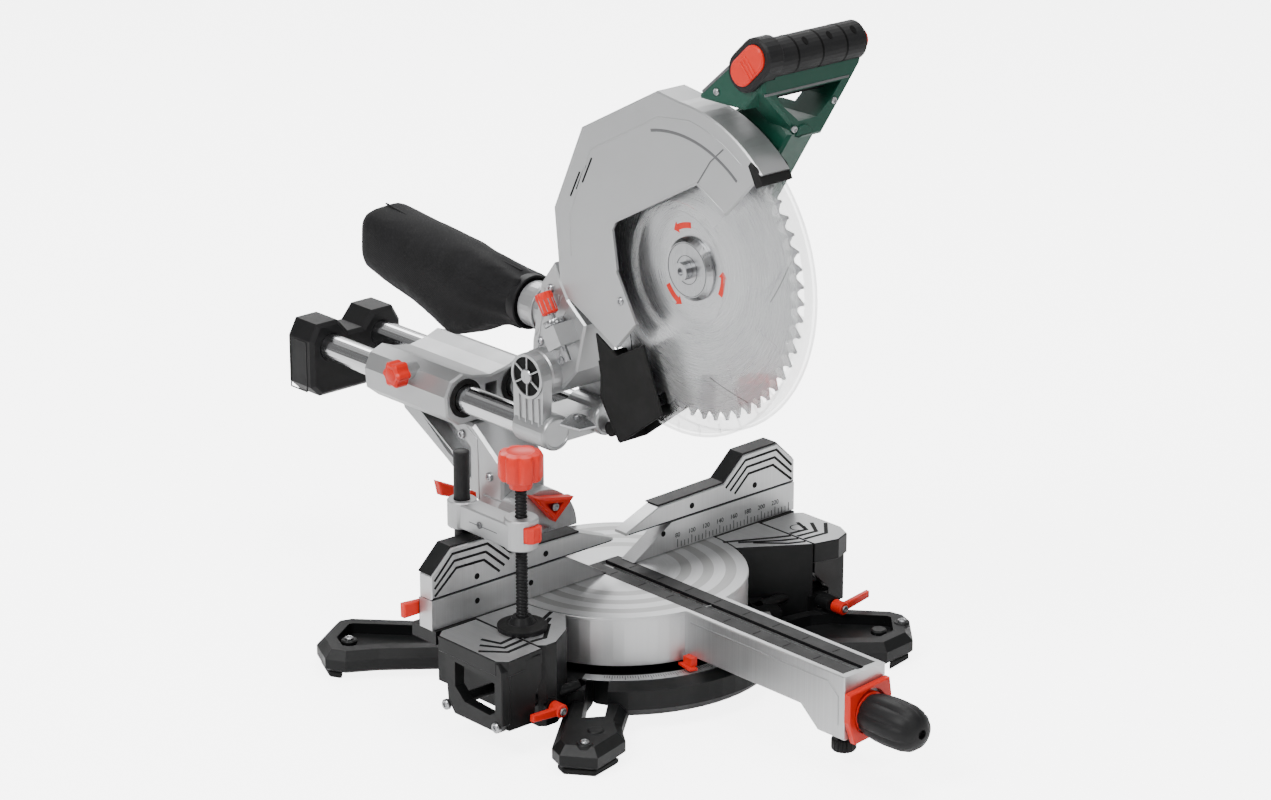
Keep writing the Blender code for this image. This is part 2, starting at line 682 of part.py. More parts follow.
def head_group():
    arm = [
        (108, 190), (106, 226), (92, 290), (72, 316), (63.4, 301), (51, 282), (24, 261), (38, 208),
        (60, 184), (84, 174),
    ]
    obj = make("head_casting", rod(25, "X", (PIVOT_Y, PIVOT_Z), -37.4, 37.4, 32, 1.5), "paint_grey", "head")
    unite(obj, prism(arm, "X", -25, 25, 2.0))
    unite(obj, tube(24, 20, "Y", (0, 254), 66, 130, 28))
    case = [
        (82, 330), (50, 410), (-20, 446), (-110, 446), (-156, 400), (-156, 318), (-124, 296),
        (-70, 296), (14, 262), (60, 250),
    ]
    unite(obj, prism(case, "X", GUARD_RIGHT + GAP, 20, 1.0))
    unite(obj, tube(GEAR_R + 8, GEAR_R + 3, "X", (BLADE_Y, BLADE_Z), 18, 34, 40))
    cut(
        obj,
        rod(8 + GAP, "X", (PIVOT_Y, PIVOT_Z), -60, 60, 24),
        rod(10.3, "X", (BLADE_Y, BLADE_Z), 0, 30, 24),
        rod(12, "X", (MOTOR_Y, MOTOR_Z), 14, 60, 24),
        rod(19.9, "Y", (0, 254), 90, 140, 28),
    )
    make("hinge_pin", rod(8, "X", (PIVOT_Y, PIVOT_Z), -53, 53, 24, 1.0), "steel", "rails")

    x, y, z = DEPTH_SCREW
    lean = Matrix.Rotation(math.radians(DEPTH_LEAN), 4, "X")
    turn = Matrix.Translation(Vector(DEPTH_SCREW)) @ lean @ Matrix.Translation(-Vector(DEPTH_SCREW))
    lug = [(-48, y - 11), (-48, y + 11), (-20, y + 15), (-20, y - 15)]
    unite(obj, placed(prism(lug, "Z", z - 26, z - 4), turn))
    cut(obj, placed(rod(3.5 + GAP, "Z", (x, y), z - 60, z + 6, 14), turn))
    stop = make(
        "depth_stop_screw", placed(rod(3.5, "Z", (x, y), z - 42, z + 20, 14), turn), "steel",
        "depth_screw",
    )
    unite(stop, placed(rod(7.5, "Z", (x, y), z - 4 + GAP, z + 3, 6), turn))
    unite(stop, placed(rod(8.5, "Z", (x, y), z + 10, z + 31, 16, 1.5), turn))


def upper_guard():
    arc = circle((BLADE_Y, BLADE_Z), UPPER_GUARD_R + 3, 12, 134, 92)
    outline = [
        *arc, (-82, 524.5), (28, 466), (70, 375), (62, 302), (50, 284), (-23, 248), (-56, 284),
        (-92, 300), (-150, 312), (-179, 421),
    ]
    inner_arc = circle((BLADE_Y, BLADE_Z), UPPER_GUARD_R - 1, 12, 134, 92)
    inner = [
        *inner_arc, (-82, 520.5), (25, 464), (66, 375), (58.5, 303), (40, 276), (-20, 230), (-120, 230),
        (-300, 300), (-260, 520),
    ]
    obj = make("upper_guard", prism(outline, "X", GUARD_LEFT, GUARD_RIGHT, 1.5), "paint_grey", "head")
    window = [
        (-179, 421), (-139, 443), (-21, 379), (-16, 371), (-23, 330), (-52, 282), (-60, 240),
        (-300, 240), (-300, 421),
    ]
    cut(
        obj,
        prism(inner, "X", GUARD_LEFT + 3, GUARD_RIGHT - 3),
        prism(window, "X", GUARD_LEFT - 5, GUARD_LEFT + 4),
        rod(28, "X", (BLADE_Y, BLADE_Z), 5, 20, 32),
    )
    scoop = [(8, 257), (0, 218), (0, 190), (-28, 150), (-90, 196), (-62, 262), (-23, 241)]
    hollow = [(16, 268), (-4, 216), (-4, 192), (-28, 157), (-60, 120), (-160, 196), (-100, 290), (0, 290)]
    flap = make("chip_deflector", prism(scoop, "X", GUARD_LEFT, GUARD_RIGHT, 1.0), "rubber", "head")
    cut(flap, prism(hollow, "X", GUARD_LEFT + 3, GUARD_RIGHT - 3))


def lower_guard():
    """Clear guard: a rim round the front and bottom of the blade with a wall on either side."""
    centre = (BLADE_Y, BLADE_Z)
    outer = circle(centre, LOWER_GUARD_R, 30, 131, 295)
    outline = outer + circle(centre, 70, 16, 295, 131)
    obj = make("lower_guard", prism(outline, "X", -19, 6), "clear", "lower_guard")
    inner = circle(centre, LOWER_GUARD_R - 3.5, 30, 120, 306) + circle(centre, 40, 16, 306, 120)
    cut(obj, prism(inner, "X", -16.5, 3.5))
    for start in (160, 205, 250):
        slot = circle(centre, 150, 6, start, start + 26) + circle(centre, 112, 6, start + 26, start)
        cut(obj, prism(slot, "X", 0, 10))
    unite(obj, tube(70.5, 62, "X", centre, -19, -16.5, 40), tube(70.5, 34, "X", centre, 3.6, 6, 40))


def arbor_group():
    centre = (BLADE_Y, BLADE_Z)
    teeth = at(toothed(BLADE_R, 9.0, BLADE_TEETH, 0.12), centre)
    blade = make("blade", prism(teeth, "X", -BLADE_T / 2, BLADE_T / 2), "steel", "arbor", smooth=False)
    cut(blade, rod(15.3, "X", centre, -5, 5, 32))
    flange = [(5.3, -3), (15, -3), (15, -1.2 - GAP), (32, -1.2 - GAP), (32, -4), (28, -9), (5.3, -9)]
    make("outer_flange", turned(flange, "X", centre, 40), "steel", "arbor")
    shaft = [
        (0, 52), (9, 52), (9, 33), (GEAR_R, 33), (GEAR_R, 22), (10, 22), (10, 3.2), (24, 3.2),
        (24, 1.5), (15, 1.5),
    ]
    shaft += [(15, -1.2), (8, -1.2), (8, -2.7), (0, -2.7)]
    make("spindle", turned(shaft, "X", centre, 40), "steel", "arbor")
    bolt = [(0, -3), (5, -3), (5, -9.3), (9, -9.3), (9, -18), (4, -18), (4, -14), (0, -14)]
    make("blade_bolt", turned(bolt, "X", centre, 12), "steel", "arbor")


def motor_group():
    centre = (MOTOR_Y, MOTOR_Z)
    shell = [
        (MOTOR_R, 58), (MOTOR_R, MOTOR_END - 6), (MOTOR_R - 7, MOTOR_END), (11, MOTOR_END),
        (11, MOTOR_END - 5),
    ]
    shell += [(MOTOR_R - 8, MOTOR_END - 5), (MOTOR_R - 5, MOTOR_END - 9), (MOTOR_R - 5, 58)]
    obj = make("motor_housing", turned(shell, "X", centre, 40), "green", "head")
    case = [
        (70, 352), (46, 400), (-20, 440), (-112, 440), (-162, 402), (-162, 322), (-130, 284),
        (-84, 284), (20, 300),
    ]
    unite(obj, prism(case, "X", 34.6, 60, 3.0))
    cut(
        obj,
        rod(12, "X", centre, 20, 80, 24),
        prism(shrink(case, 5), "X", 30, 54),
        rod(MOTOR_R - 5, "X", centre, 53, 70, 40),
    )
    shaft = [(0, 108), (5, 108), (5, 100), (30, 100), (30, 66), (8, 66), (8, 56), (5, 56), (5, 37)]
    shaft += [(PINION_R, 37), (PINION_R, 22), (0, 22)]
    make("armature", turned(shaft, "X", centre, 24), "steel", "motor")


def handle_group():
    top = GRIP_Z + 8
    loop = [
        (-20, top), (-20, 548), (14, 513), (30, 496), (58, 496), (90, 534), (108, 556), (112, 570),
        (112, top),
    ]
    hole = [(-4, 544), (6, 531), (26, 514), (50, 514), (70, 530), (82, 544)]
    obj = make("handle_body", prism(loop, "Y", GRIP_Y - 12, GRIP_Y + 26, 3.0), "green", "head")
    shoulder = [(-218, 552), (-214, 584), (-196, 586), (-184, 574), (-136, 531), (-136, 527), (-196, 527)]
    unite(obj, prism(shoulder, "X", -20, 20, 2.0))
    neck = [(GRIP_Y - 6, 500), (-180, 530), (-124, 500), (-70, 446), (-112, 441), (-158, 406)]
    unite(obj, prism(neck, "X", 20.3, 58, 3.0))
    cut(obj, prism(hole, "Y", -250, -160))
    cover = make(
        "handle_grip", rod(GRIP_R, "X", (GRIP_Y, GRIP_Z), -16, GRIP_RIGHT, 28, 5.0), "plastic_black",
        "head",
    )
    low_end = (GRIP_Y + 11, GRIP_Z - 11)
    high_end = (GRIP_Y - 6, GRIP_Z + 5)
    unite(cover, prism(stadium(low_end, high_end, 20), "X", GRIP_LEFT - 3, -6, 2.0))
    cut(
        obj,
        rod(GRIP_R + GAP, "X", (GRIP_Y, GRIP_Z), -50, GRIP_RIGHT + 10, 28),
        prism(stadium(low_end, high_end, 20 + GAP), "X", -50, -6 + GAP),
        box(3.5, 74.5, GRIP_Y + 1.5, GRIP_Y + 16.5, 540, 554.7),
    )
    trigger = box(4, 74, GRIP_Y + 2, GRIP_Y + 16, 536, 548, 1.5)
    make("trigger", trigger, "plastic_black", "trigger")
    button = (stadium(low_end, high_end, 13.5), stadium(low_end, high_end, 13.5 + GAP))
    cut(cover, prism(button[1], "X", GRIP_LEFT - 8, GRIP_LEFT + 8.5))
    make("lock_button_left", prism(button[0], "X", GRIP_LEFT - 6, GRIP_LEFT + 4, 1.5), "red", "lock_left")
    spot = (GRIP_Y - 2, GRIP_Z)
    cut(cover, rod(11 + GAP, "X", spot, GRIP_RIGHT - 11.5, GRIP_RIGHT + 5, 20))
    make(
        "lock_button_right", rod(11, "X", spot, GRIP_RIGHT - 7, GRIP_RIGHT + 4, 20, 1.5), "red",
        "lock_right",
    )


def dust_bag():
    """Bag of woven cloth on the chip outlet: round at the neck, deep and flat-sided behind."""
    stations = [
        (131, 254, 27, 27),
        (150, 255, 27.5, 29),
        (182, 253.5, 32, 34.5),
        (215, 249, 36, 42),
        (245, 247, 38, 47),
        (306, 259, 38, 40),
        (345, 266, 38, 38),
        (374, 271.5, 36, 36.5),
        (382, 273, 30, 30),
    ]
    steps = 20
    squareness = 0.75
    points = []
    for y, z, half_width, half_height in stations:
        for i in range(steps):
            angle = 2 * math.pi * i / steps
            c = math.copysign(abs(math.cos(angle)) ** squareness, math.cos(angle))
            s = math.copysign(abs(math.sin(angle)) ** squareness, math.sin(angle))
            points.append((half_width * c, y, z + half_height * s))
    faces = [list(range(steps)), list(range(len(points) - steps, len(points)))]
    for ring in range(len(stations) - 1):
        for i in range(steps):
            j = (i + 1) % steps
            faces.append(
                [ring * steps + i, ring * steps + j, (ring + 1) * steps + j, (ring + 1) * steps + i],
            )
    make("dust_bag", (points, faces), "fabric", "head")


def main():
    clear_scene()
    place_pivots()
    base_casting()
    foot_pads()
    fences()
    extension_left()
    extension_right()
    extension_lever("left", -182, -218, 1)
    extension_lever("right", 207, 246, 5)
    turntable()
    mitre_controls()
    hold_down()
    bevel_group()
    rail_housing()
    rail_group()
    head_group()
    upper_guard()
    lower_guard()
    arbor_group()
    motor_group()
    handle_group()
    dust_bag()


main()
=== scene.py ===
"""Looks of the sliding mitre saw: its finishes, and the fine pieces on its castings and mouldings."""
import json
import math

import bmesh
import bpy
from mathutils import Matrix, Vector, noise


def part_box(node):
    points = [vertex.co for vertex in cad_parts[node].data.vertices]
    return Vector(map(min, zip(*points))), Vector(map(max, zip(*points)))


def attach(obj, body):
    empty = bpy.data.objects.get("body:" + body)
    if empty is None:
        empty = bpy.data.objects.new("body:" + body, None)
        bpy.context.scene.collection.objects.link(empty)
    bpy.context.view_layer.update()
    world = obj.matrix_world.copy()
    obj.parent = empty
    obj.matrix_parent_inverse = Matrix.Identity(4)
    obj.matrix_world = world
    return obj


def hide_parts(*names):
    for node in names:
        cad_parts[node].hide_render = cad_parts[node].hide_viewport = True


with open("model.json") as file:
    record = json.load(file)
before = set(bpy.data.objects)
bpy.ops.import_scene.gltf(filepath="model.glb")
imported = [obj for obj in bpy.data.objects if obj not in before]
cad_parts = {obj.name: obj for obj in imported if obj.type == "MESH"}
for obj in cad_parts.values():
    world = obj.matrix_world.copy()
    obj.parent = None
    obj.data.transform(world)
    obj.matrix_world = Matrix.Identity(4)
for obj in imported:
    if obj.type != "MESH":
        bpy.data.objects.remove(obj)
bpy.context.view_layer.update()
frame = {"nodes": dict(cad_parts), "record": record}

bl_info = {
    "name": "Sliding Mitre Saw Finish",
    "version": (1, 0, 0),
    "blender": (4, 5, 0),
    "location": "View3D > Sidebar > Mitre Saw",
    "description": "Finishes and fine pieces for a sliding mitre saw",
    "category": "Object",
}

MM = 0.001
ORIGIN = Vector((0.0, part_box("fence_left")[0].y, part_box("turntable")[1].z))
NODES = frame["nodes"]


def place(node, corner, axis):
    """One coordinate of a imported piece's box, in millimetres from the saw's own origin."""
    return (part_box(node)[corner][axis] - ORIGIN[axis]) / MM


HUB_R = place("turntable", 1, 0)
ARM_HALF = 28.0
FENCE_END = place("fence_right", 1, 0)
FENCE_BACK = place("fence_left", 1, 1)
BLADE_FACE = place("blade", 0, 0)
GUARD_FACE = place("upper_guard", 0, 0)
RIM_R = (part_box("blade")[1].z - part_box("blade")[0].z) / 2 / MM
BLADE_CENTRE = (place("blade", 0, 1) + RIM_R, place("blade", 0, 2) + RIM_R)
RAIL_R = (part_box("rail_left")[1].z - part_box("rail_left")[0].z) / 2 / MM
RAIL_X = place("rail_right", 1, 0) - RAIL_R
RAIL_Z = place("rail_right", 1, 2) - RAIL_R
PIVOT = (84.0, 198.0)
GRIP = (-212.0, 577.0)
GRIP_R = 19.0
KNOB = (-177.0, -53.0)
DEPTH_SCREW = (-37.0, 58.0, 259.0)
DEPTH_LEAN = -32.0


# Levels of the faces that fine pieces stand on, in millimetres, and the dust, bag and floor values.
PROUD = 0.15
HEAD_FACE = -25.0
TILT_ARM_FACE = -30.0
BRACKET_FACE = -49.5
OUTLET_Z = 254.0
RECESS_LEDGE = -57.0
DUST_COLOUR = (0.42, 0.40, 0.37, 1)
CLOTH_FRAMES = 20
BAG_STEPS_BETWEEN = 4
FLOOR_HALF = 14.0  # metres
FLOOR_BEND = 3.0  # metres

# Meshes, in millimetres.


def frame_of(axis):
    """Two directions across an axis and the axis itself, right-handed."""
    return {
        "X": (Vector((0, 1, 0)), Vector((0, 0, 1)), Vector((1, 0, 0))),
        "Y": (Vector((1, 0, 0)), Vector((0, 0, 1)), Vector((0, 1, 0))),
        "Z": (Vector((1, 0, 0)), Vector((0, 1, 0)), Vector((0, 0, 1))),
    }[axis]


def prism(outline, axis, low, high):
    """An outline drawn across an axis and pushed along it."""
    u, v, along = frame_of(axis)
    count = len(outline)
    points = [u * a + v * b + along * level for level in (low, high) for a, b in outline]
    faces = [list(range(count)), list(range(count, 2 * count))]
    faces += [[i, (i + 1) % count, count + (i + 1) % count, count + i] for i in range(count)]
    return points, faces


def block(x0, x1, y0, y1, z0, z1):
    return prism([(x0, y0), (x1, y0), (x1, y1), (x0, y1)], "Z", z0, z1)


def arc(centre, radius, start, end, steps):
    """Points along an arc, in degrees, both ends included."""
    points = []
    for i in range(steps + 1):
        angle = math.radians(start + (end - start) * i / steps)
        points.append((centre[0] + radius * math.cos(angle), centre[1] + radius * math.sin(angle)))
    return points


def turned(profile, axis, centre, steps=32, flutes=0, depth=0.0):
    """A closed (radius, along) profile spun round an axis, with flutes pressed into its widest rows."""
    u, v, along = frame_of(axis)
    middle = u * centre[0] + v * centre[1]
    widest = max(radius for radius, _ in profile)
    points = []
    rows = []
    for radius, level in profile:
        if radius == 0:
            rows.append([len(points)] * steps)
            points.append(middle + along * level)
            continue
        rows.append(list(range(len(points), len(points) + steps)))
        share = max(0.0, (radius / widest - 0.7) / 0.3)
        for i in range(steps):
            angle = 2 * math.pi * i / steps
            wave = max(0.0, math.cos(flutes * angle)) ** 2 if flutes else 0.0
            reach = radius - depth * share * wave
            points.append(middle + (u * math.cos(angle) + v * math.sin(angle)) * reach + along * level)
    faces = []
    for row, following in zip(rows, rows[1:] + rows[:1]):
        if row[0] == row[1] and following[0] == following[1]:
            continue
        for i in range(steps):
            j = (i + 1) % steps
            face = [row[i], row[j], following[j], following[i]]
            faces.append([p for k, p in enumerate(face) if p not in face[:k]])
    return points, faces


def ribbon(path, width):
    """The outline of a line of even width along an open path."""
    left = []
    right = []
    for i, spot in enumerate(path):
        here = Vector(spot)
        before = (here - Vector(path[i - 1])).normalized() if i else None
        after = (Vector(path[i + 1]) - here).normalized() if i + 1 < len(path) else None
        first = before or after
        second = after or before
        side = Vector((-first.y, first.x)) + Vector((-second.y, second.x))
        side /= max(side.dot(Vector((-first.y, first.x))), 0.4)
        left.append(tuple(here + side * width / 2))
        right.append(tuple(here - side * width / 2))
    return left + right[::-1]


def screw(axis, centre, level, radius, sign=-1):
    """A pan head with a socket, standing off a face at level along the axis."""
    tall = radius * 0.5
    profile = [(0, 0.3), (0.42, 0.3), (0.5, 0.92), (0.8, 1.0), (1.0, 0.6), (1.0, -0.6), (0, -0.6)]
    return turned([(r * radius, level + sign * t * tall) for r, t in profile], axis, centre, 20)


def moved(shape, matrix):
    points, faces = shape
    return [matrix @ Vector(p) for p in points], faces


def about_x(spot, degrees):
    """A turn about a line along X through (y, z)."""
    centre = Vector((0, spot[0], spot[1]))
    turn = Matrix.Rotation(math.radians(degrees), 4, "X")
    return Matrix.Translation(centre) @ turn @ Matrix.Translation(-centre)


def piece(name, shapes, finish, body, bevel=0.25, stands_for=()):
    """One object from several shapes, riding on a body, with softened edges."""
    mesh = bpy.data.meshes.new(name)
    points = []
    faces = []
    for more, loops in shapes:
        faces += [[i + len(points) for i in loop] for loop in loops]
        points += [ORIGIN + Vector(p) * MM for p in more]
    mesh.from_pydata(points, [], faces)
    tidy = bmesh.new()
    tidy.from_mesh(mesh)
    bmesh.ops.recalc_face_normals(tidy, faces=tidy.faces)
    tidy.to_mesh(mesh)
    tidy.free()
    mesh.shade_smooth()
    mesh.set_sharp_from_angle(angle=math.radians(38))
    made = bpy.data.objects.new(name, mesh)
    bpy.context.scene.collection.objects.link(made)
    made.data.materials.append(bpy.data.materials[finish])
    if bevel:
        soften = made.modifiers.new("Softened edges", "BEVEL")
        soften.width = bevel * MM
        soften.segments = 2
        soften.limit_method = "ANGLE"
        soften.angle_limit = math.radians(40)
        soften.use_clamp_overlap = True
    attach(made, body)
    for node in stands_for:
        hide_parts(node)
    return made


# Finishes.


def feed(tree, socket, value):
    if isinstance(value, bpy.types.NodeSocket):
        tree.links.new(value, socket)
    else:
        socket.default_value = value


def add(tree, kind, settings=None, **inputs):
    """A node with its settings, its inputs set or linked by name."""
    node = tree.nodes.new(kind)
    for key, value in (settings or {}).items():
        setattr(node, key, value)
    for key, value in inputs.items():
        feed(tree, node.inputs[key.replace("_", " ")], value)
    return node


def calculate(tree, operation, first, second=0.0, clamp=False):
    node = tree.nodes.new("ShaderNodeMath")
    node.operation = operation
    node.use_clamp = clamp
    feed(tree, node.inputs[0], first)
    feed(tree, node.inputs[1], second)
    return node.outputs[0]


def spread(tree, value, low, high, to_low=0.0, to_high=1.0):
    node = add(
        tree, "ShaderNodeMapRange", Value=value, From_Min=low, From_Max=high, To_Min=to_low, To_Max=to_high
    )
    return node.outputs["Result"]


def new_group(name, takes, gives):
    """An empty node group with named inputs and outputs; returns its tree, input and output nodes."""
    group = bpy.data.node_groups.new(name, "ShaderNodeTree")
    for label, kind, default in takes:
        socket = group.interface.new_socket(label, in_out="INPUT", socket_type="NodeSocket" + kind)
        if default is not None:
            socket.default_value = default
    for label, kind in gives:
        group.interface.new_socket(label, in_out="OUTPUT", socket_type="NodeSocket" + kind)
    return group, group.nodes.new("NodeGroupInput"), group.nodes.new("NodeGroupOutput")


def edge_wear_group():
    """Where a bevelled normal leaves the face's own normal, an edge is near; noise breaks it up."""
    takes = [("Radius", "Float", 0.0008), ("Patch Size", "Float", 90.0), ("Amount", "Float", 0.6)]
    group, given, result = new_group("Edge wear", takes, [("Mask", "Float")])
    round_normal = add(group, "ShaderNodeBevel", {"samples": 4}, Radius=given.outputs["Radius"])
    true_normal = add(group, "ShaderNodeNewGeometry")
    dot = add(group, "ShaderNodeVectorMath", {"operation": "DOT_PRODUCT"})
    group.links.new(round_normal.outputs["Normal"], dot.inputs[0])
    group.links.new(true_normal.outputs["Normal"], dot.inputs[1])
    edge = spread(group, dot.outputs["Value"], 0.995, 0.86)
    here = add(group, "ShaderNodeTexCoord").outputs["Object"]
    patches = add(group, "ShaderNodeTexNoise", Vector=here, Scale=given.outputs["Patch Size"], Detail=5.0)
    broken = spread(group, patches.outputs["Fac"], 0.42, 0.68)
    mask = calculate(
        group, "MULTIPLY", calculate(group, "MULTIPLY", edge, broken), given.outputs["Amount"], True
    )
    group.links.new(mask, result.inputs["Mask"])


def grain_group():
    """Fine moulded or cast grain, with a slower change in gloss over it."""
    takes = [("Scale", "Float", 1500.0), ("Low", "Float", 0.4), ("High", "Float", 0.55)]
    group, given, result = new_group("Grain", takes, [("Height", "Float"), ("Roughness", "Float")])
    here = add(group, "ShaderNodeTexCoord").outputs["Object"]
    fine = add(group, "ShaderNodeTexNoise", Vector=here, Scale=given.outputs["Scale"], Detail=3.0)
    slow = add(group, "ShaderNodeTexNoise", Vector=here, Scale=28.0, Detail=6.0, Roughness=0.62)
    share = spread(group, slow.outputs["Fac"], 0.3, 0.7)
    span = calculate(group, "SUBTRACT", given.outputs["High"], given.outputs["Low"])
    rough = calculate(group, "ADD", calculate(group, "MULTIPLY", span, share), given.outputs["Low"])
    group.links.new(fine.outputs["Fac"], result.inputs["Height"])
    group.links.new(rough, result.inputs["Roughness"])


def dust_group():
    """Fine dust that has settled on faces that look up."""
    takes = [("Amount", "Float", 0.3), ("Scale", "Float", 60.0)]
    group, given, result = new_group("Settled dust", takes, [("Mask", "Float")])
    normal = add(group, "ShaderNodeNewGeometry").outputs["Normal"]
    up = add(group, "ShaderNodeSeparateXYZ", Vector=normal).outputs["Z"]
    here = add(group, "ShaderNodeTexCoord").outputs["Object"]
    cloud = add(
        group, "ShaderNodeTexNoise", Vector=here, Scale=given.outputs["Scale"], Detail=8.0, Roughness=0.7
    )
    facing = spread(group, up, 0.4, 1.0)
    patch = spread(group, cloud.outputs["Fac"], 0.35, 0.75)
    mask = calculate(
        group, "MULTIPLY", calculate(group, "MULTIPLY", facing, patch), given.outputs["Amount"], True
    )
    group.links.new(mask, result.inputs["Mask"])


def drawn_lines_group():
    """Tool marks: noise drawn out along one direction of the coordinates it is given."""
    takes = [("Vector", "Vector", None), ("Along", "Vector", (1.0, 1.0, 1.0)), ("Scale", "Float", 1.0)]
    group, given, result = new_group("Drawn lines", takes, [("Height", "Float"), ("Shade", "Float")])
    stretched = add(group, "ShaderNodeVectorMath", {"operation": "MULTIPLY"})
    group.links.new(given.outputs["Vector"], stretched.inputs[0])
    group.links.new(given.outputs["Along"], stretched.inputs[1])
    fine = add(
        group, "ShaderNodeTexNoise", Vector=stretched.outputs[0], Scale=given.outputs["Scale"], Detail=4.0
    )
    shade = spread(group, fine.outputs["Fac"], 0.3, 0.7)
    group.links.new(fine.outputs["Fac"], result.inputs["Height"])
    group.links.new(shade, result.inputs["Shade"])


def weave_group():
    """Over-and-under threads of a plain woven cloth."""
    group, given, result = new_group("Weave", [("Threads", "Float", 900.0)], [("Height", "Float")])
    here = add(group, "ShaderNodeTexCoord").outputs["Object"]
    parts = add(group, "ShaderNodeSeparateXYZ", Vector=here).outputs
    warp = calculate(group, "SINE", calculate(group, "MULTIPLY", parts["Y"], given.outputs["Threads"]))
    round_way = calculate(group, "ADD", parts["X"], parts["Z"])
    weft = calculate(group, "SINE", calculate(group, "MULTIPLY", round_way, given.outputs["Threads"]))
    group.links.new(calculate(group, "MULTIPLY", warp, weft), result.inputs["Height"])


def grouped(tree, name, **inputs):
    node = tree.nodes.new("ShaderNodeGroup")
    node.node_tree = bpy.data.node_groups[name]
    for key, value in inputs.items():
        feed(tree, node.inputs[key.replace("_", " ")], value)
    return node.outputs


def blank(name, roughness=0.5, metallic=0.0, **fixed):
    """A material with its Principled shader; constants go on the shader's own sockets."""
    made = bpy.data.materials.new(name)
    made.use_nodes = True
    shader = made.node_tree.nodes["Principled BSDF"]
    shader.inputs["Roughness"].default_value = roughness
    shader.inputs["Metallic"].default_value = metallic
    for key, value in fixed.items():
        shader.inputs[key.replace("_", " ")].default_value = value
    return made.node_tree, shader


def tint(tree, mask, under, over):
    node = tree.nodes.new("ShaderNodeMix")
    node.data_type = "RGBA"
    feed(tree, node.inputs["Factor"], mask)
    feed(tree, node.inputs[6], under)
    feed(tree, node.inputs[7], over)
    return node.outputs[2]


def raise_surface(tree, shader, height, depth, strength=1.0):
    bump = add(tree, "ShaderNodeBump", Height=height, Distance=depth * MM, Strength=strength)
    tree.links.new(bump.outputs["Normal"], shader.inputs["Normal"])


def moulded(name, colour, low, high, grain, depth, dust=0.1, wear=0.25, metallic=0.0, **fixed):
    """A painted or moulded finish: grain, changing gloss, paler edges and a little dust."""
    tree, shader = blank(name, metallic=metallic, **fixed)
    texture = grouped(tree, "Grain", Scale=grain, Low=low, High=high)
    edges = grouped(tree, "Edge wear", Amount=wear)["Mask"]
    worn = tint(tree, edges, (*colour, 1), (*[min(1.0, c * 1.6 + 0.04) for c in colour], 1))
    dusty = tint(tree, grouped(tree, "Settled dust", Amount=dust)["Mask"], worn, DUST_COLOUR)
    tree.links.new(dusty, shader.inputs["Base Color"])
    tree.links.new(texture["Roughness"], shader.inputs["Roughness"])
    raise_surface(tree, shader, texture["Height"], depth)
    return tree, shader


def local_polar(tree, across, along, centre):
    """Distance from a centre line, and angle round it, from the object's own coordinates."""
    here = add(tree, "ShaderNodeTexCoord").outputs["Object"]
    parts = add(tree, "ShaderNodeSeparateXYZ", Vector=here).outputs
    a = calculate(tree, "SUBTRACT", parts[across], centre[0])
    b = calculate(tree, "SUBTRACT", parts[along], centre[1])
    radius = calculate(
        tree, "SQRT",
        calculate(tree, "ADD", calculate(tree, "MULTIPLY", a, a), calculate(tree, "MULTIPLY", b, b))
    )
    return radius, calculate(tree, "ARCTAN2", b, a)


def turned_metal(name, colour, across, along, centre, roughness, line_depth, rings=()):
    """Metal cut on a lathe: marks run round the centre, with optional broad sunk rings painted darker as
    shade in their grooves.
    """
    tree, shader = blank(name, metallic=0.9)
    radius, angle = local_polar(tree, across, along, centre)
    polar = add(tree, "ShaderNodeCombineXYZ", X=radius, Y=angle)
    marks = grouped(tree, "Drawn lines", Vector=polar.outputs[0], Along=(1600.0, 1.5, 1.0))
    base = tint(tree, marks["Shade"], (*[c * 0.86 for c in colour], 1), (*colour, 1))
    height = marks["Height"]
    # Each ring is sunk by the bump and painted darker: painted shade in the groove.
    for inner, outer, recess_shade in rings:
        inside = calculate(tree, "GREATER_THAN", radius, inner * MM)
        outside = calculate(tree, "LESS_THAN", radius, outer * MM)
        ring = calculate(tree, "MULTIPLY", inside, outside)
        base = tint(tree, ring, base, (recess_shade, recess_shade, recess_shade, 1))
        height = calculate(tree, "SUBTRACT", height, calculate(tree, "MULTIPLY", ring, 3.0))
    tree.links.new(base, shader.inputs["Base Color"])
    tree.links.new(spread(tree, marks["Shade"], 0, 1, roughness, roughness + 0.1), shader.inputs["Roughness"])
    raise_surface(tree, shader, height, line_depth)


def straight_metal(name, colour, along, roughness, metallic=1.0, depth=0.01):
    """Metal ground or milled in one direction."""
    tree, shader = blank(name, metallic=metallic)
    here = add(tree, "ShaderNodeTexCoord").outputs["Object"]
    marks = grouped(tree, "Drawn lines", Vector=here, Along=along)
    slow = add(tree, "ShaderNodeTexNoise", Vector=here, Scale=14.0, Detail=5.0).outputs["Fac"]
    base = tint(tree, marks["Shade"], (*[c * 0.84 for c in colour], 1), (*colour, 1))
    base = tint(tree, spread(tree, slow, 0.45, 0.75, 0.0, 0.35), base, (*[c * 0.8 for c in colour], 1))
    tree.links.new(base, shader.inputs["Base Color"])
    rough = spread(tree, marks["Shade"], 0, 1, roughness, roughness + 0.09)
    tree.links.new(rough, shader.inputs["Roughness"])
    raise_surface(tree, shader, marks["Height"], depth)


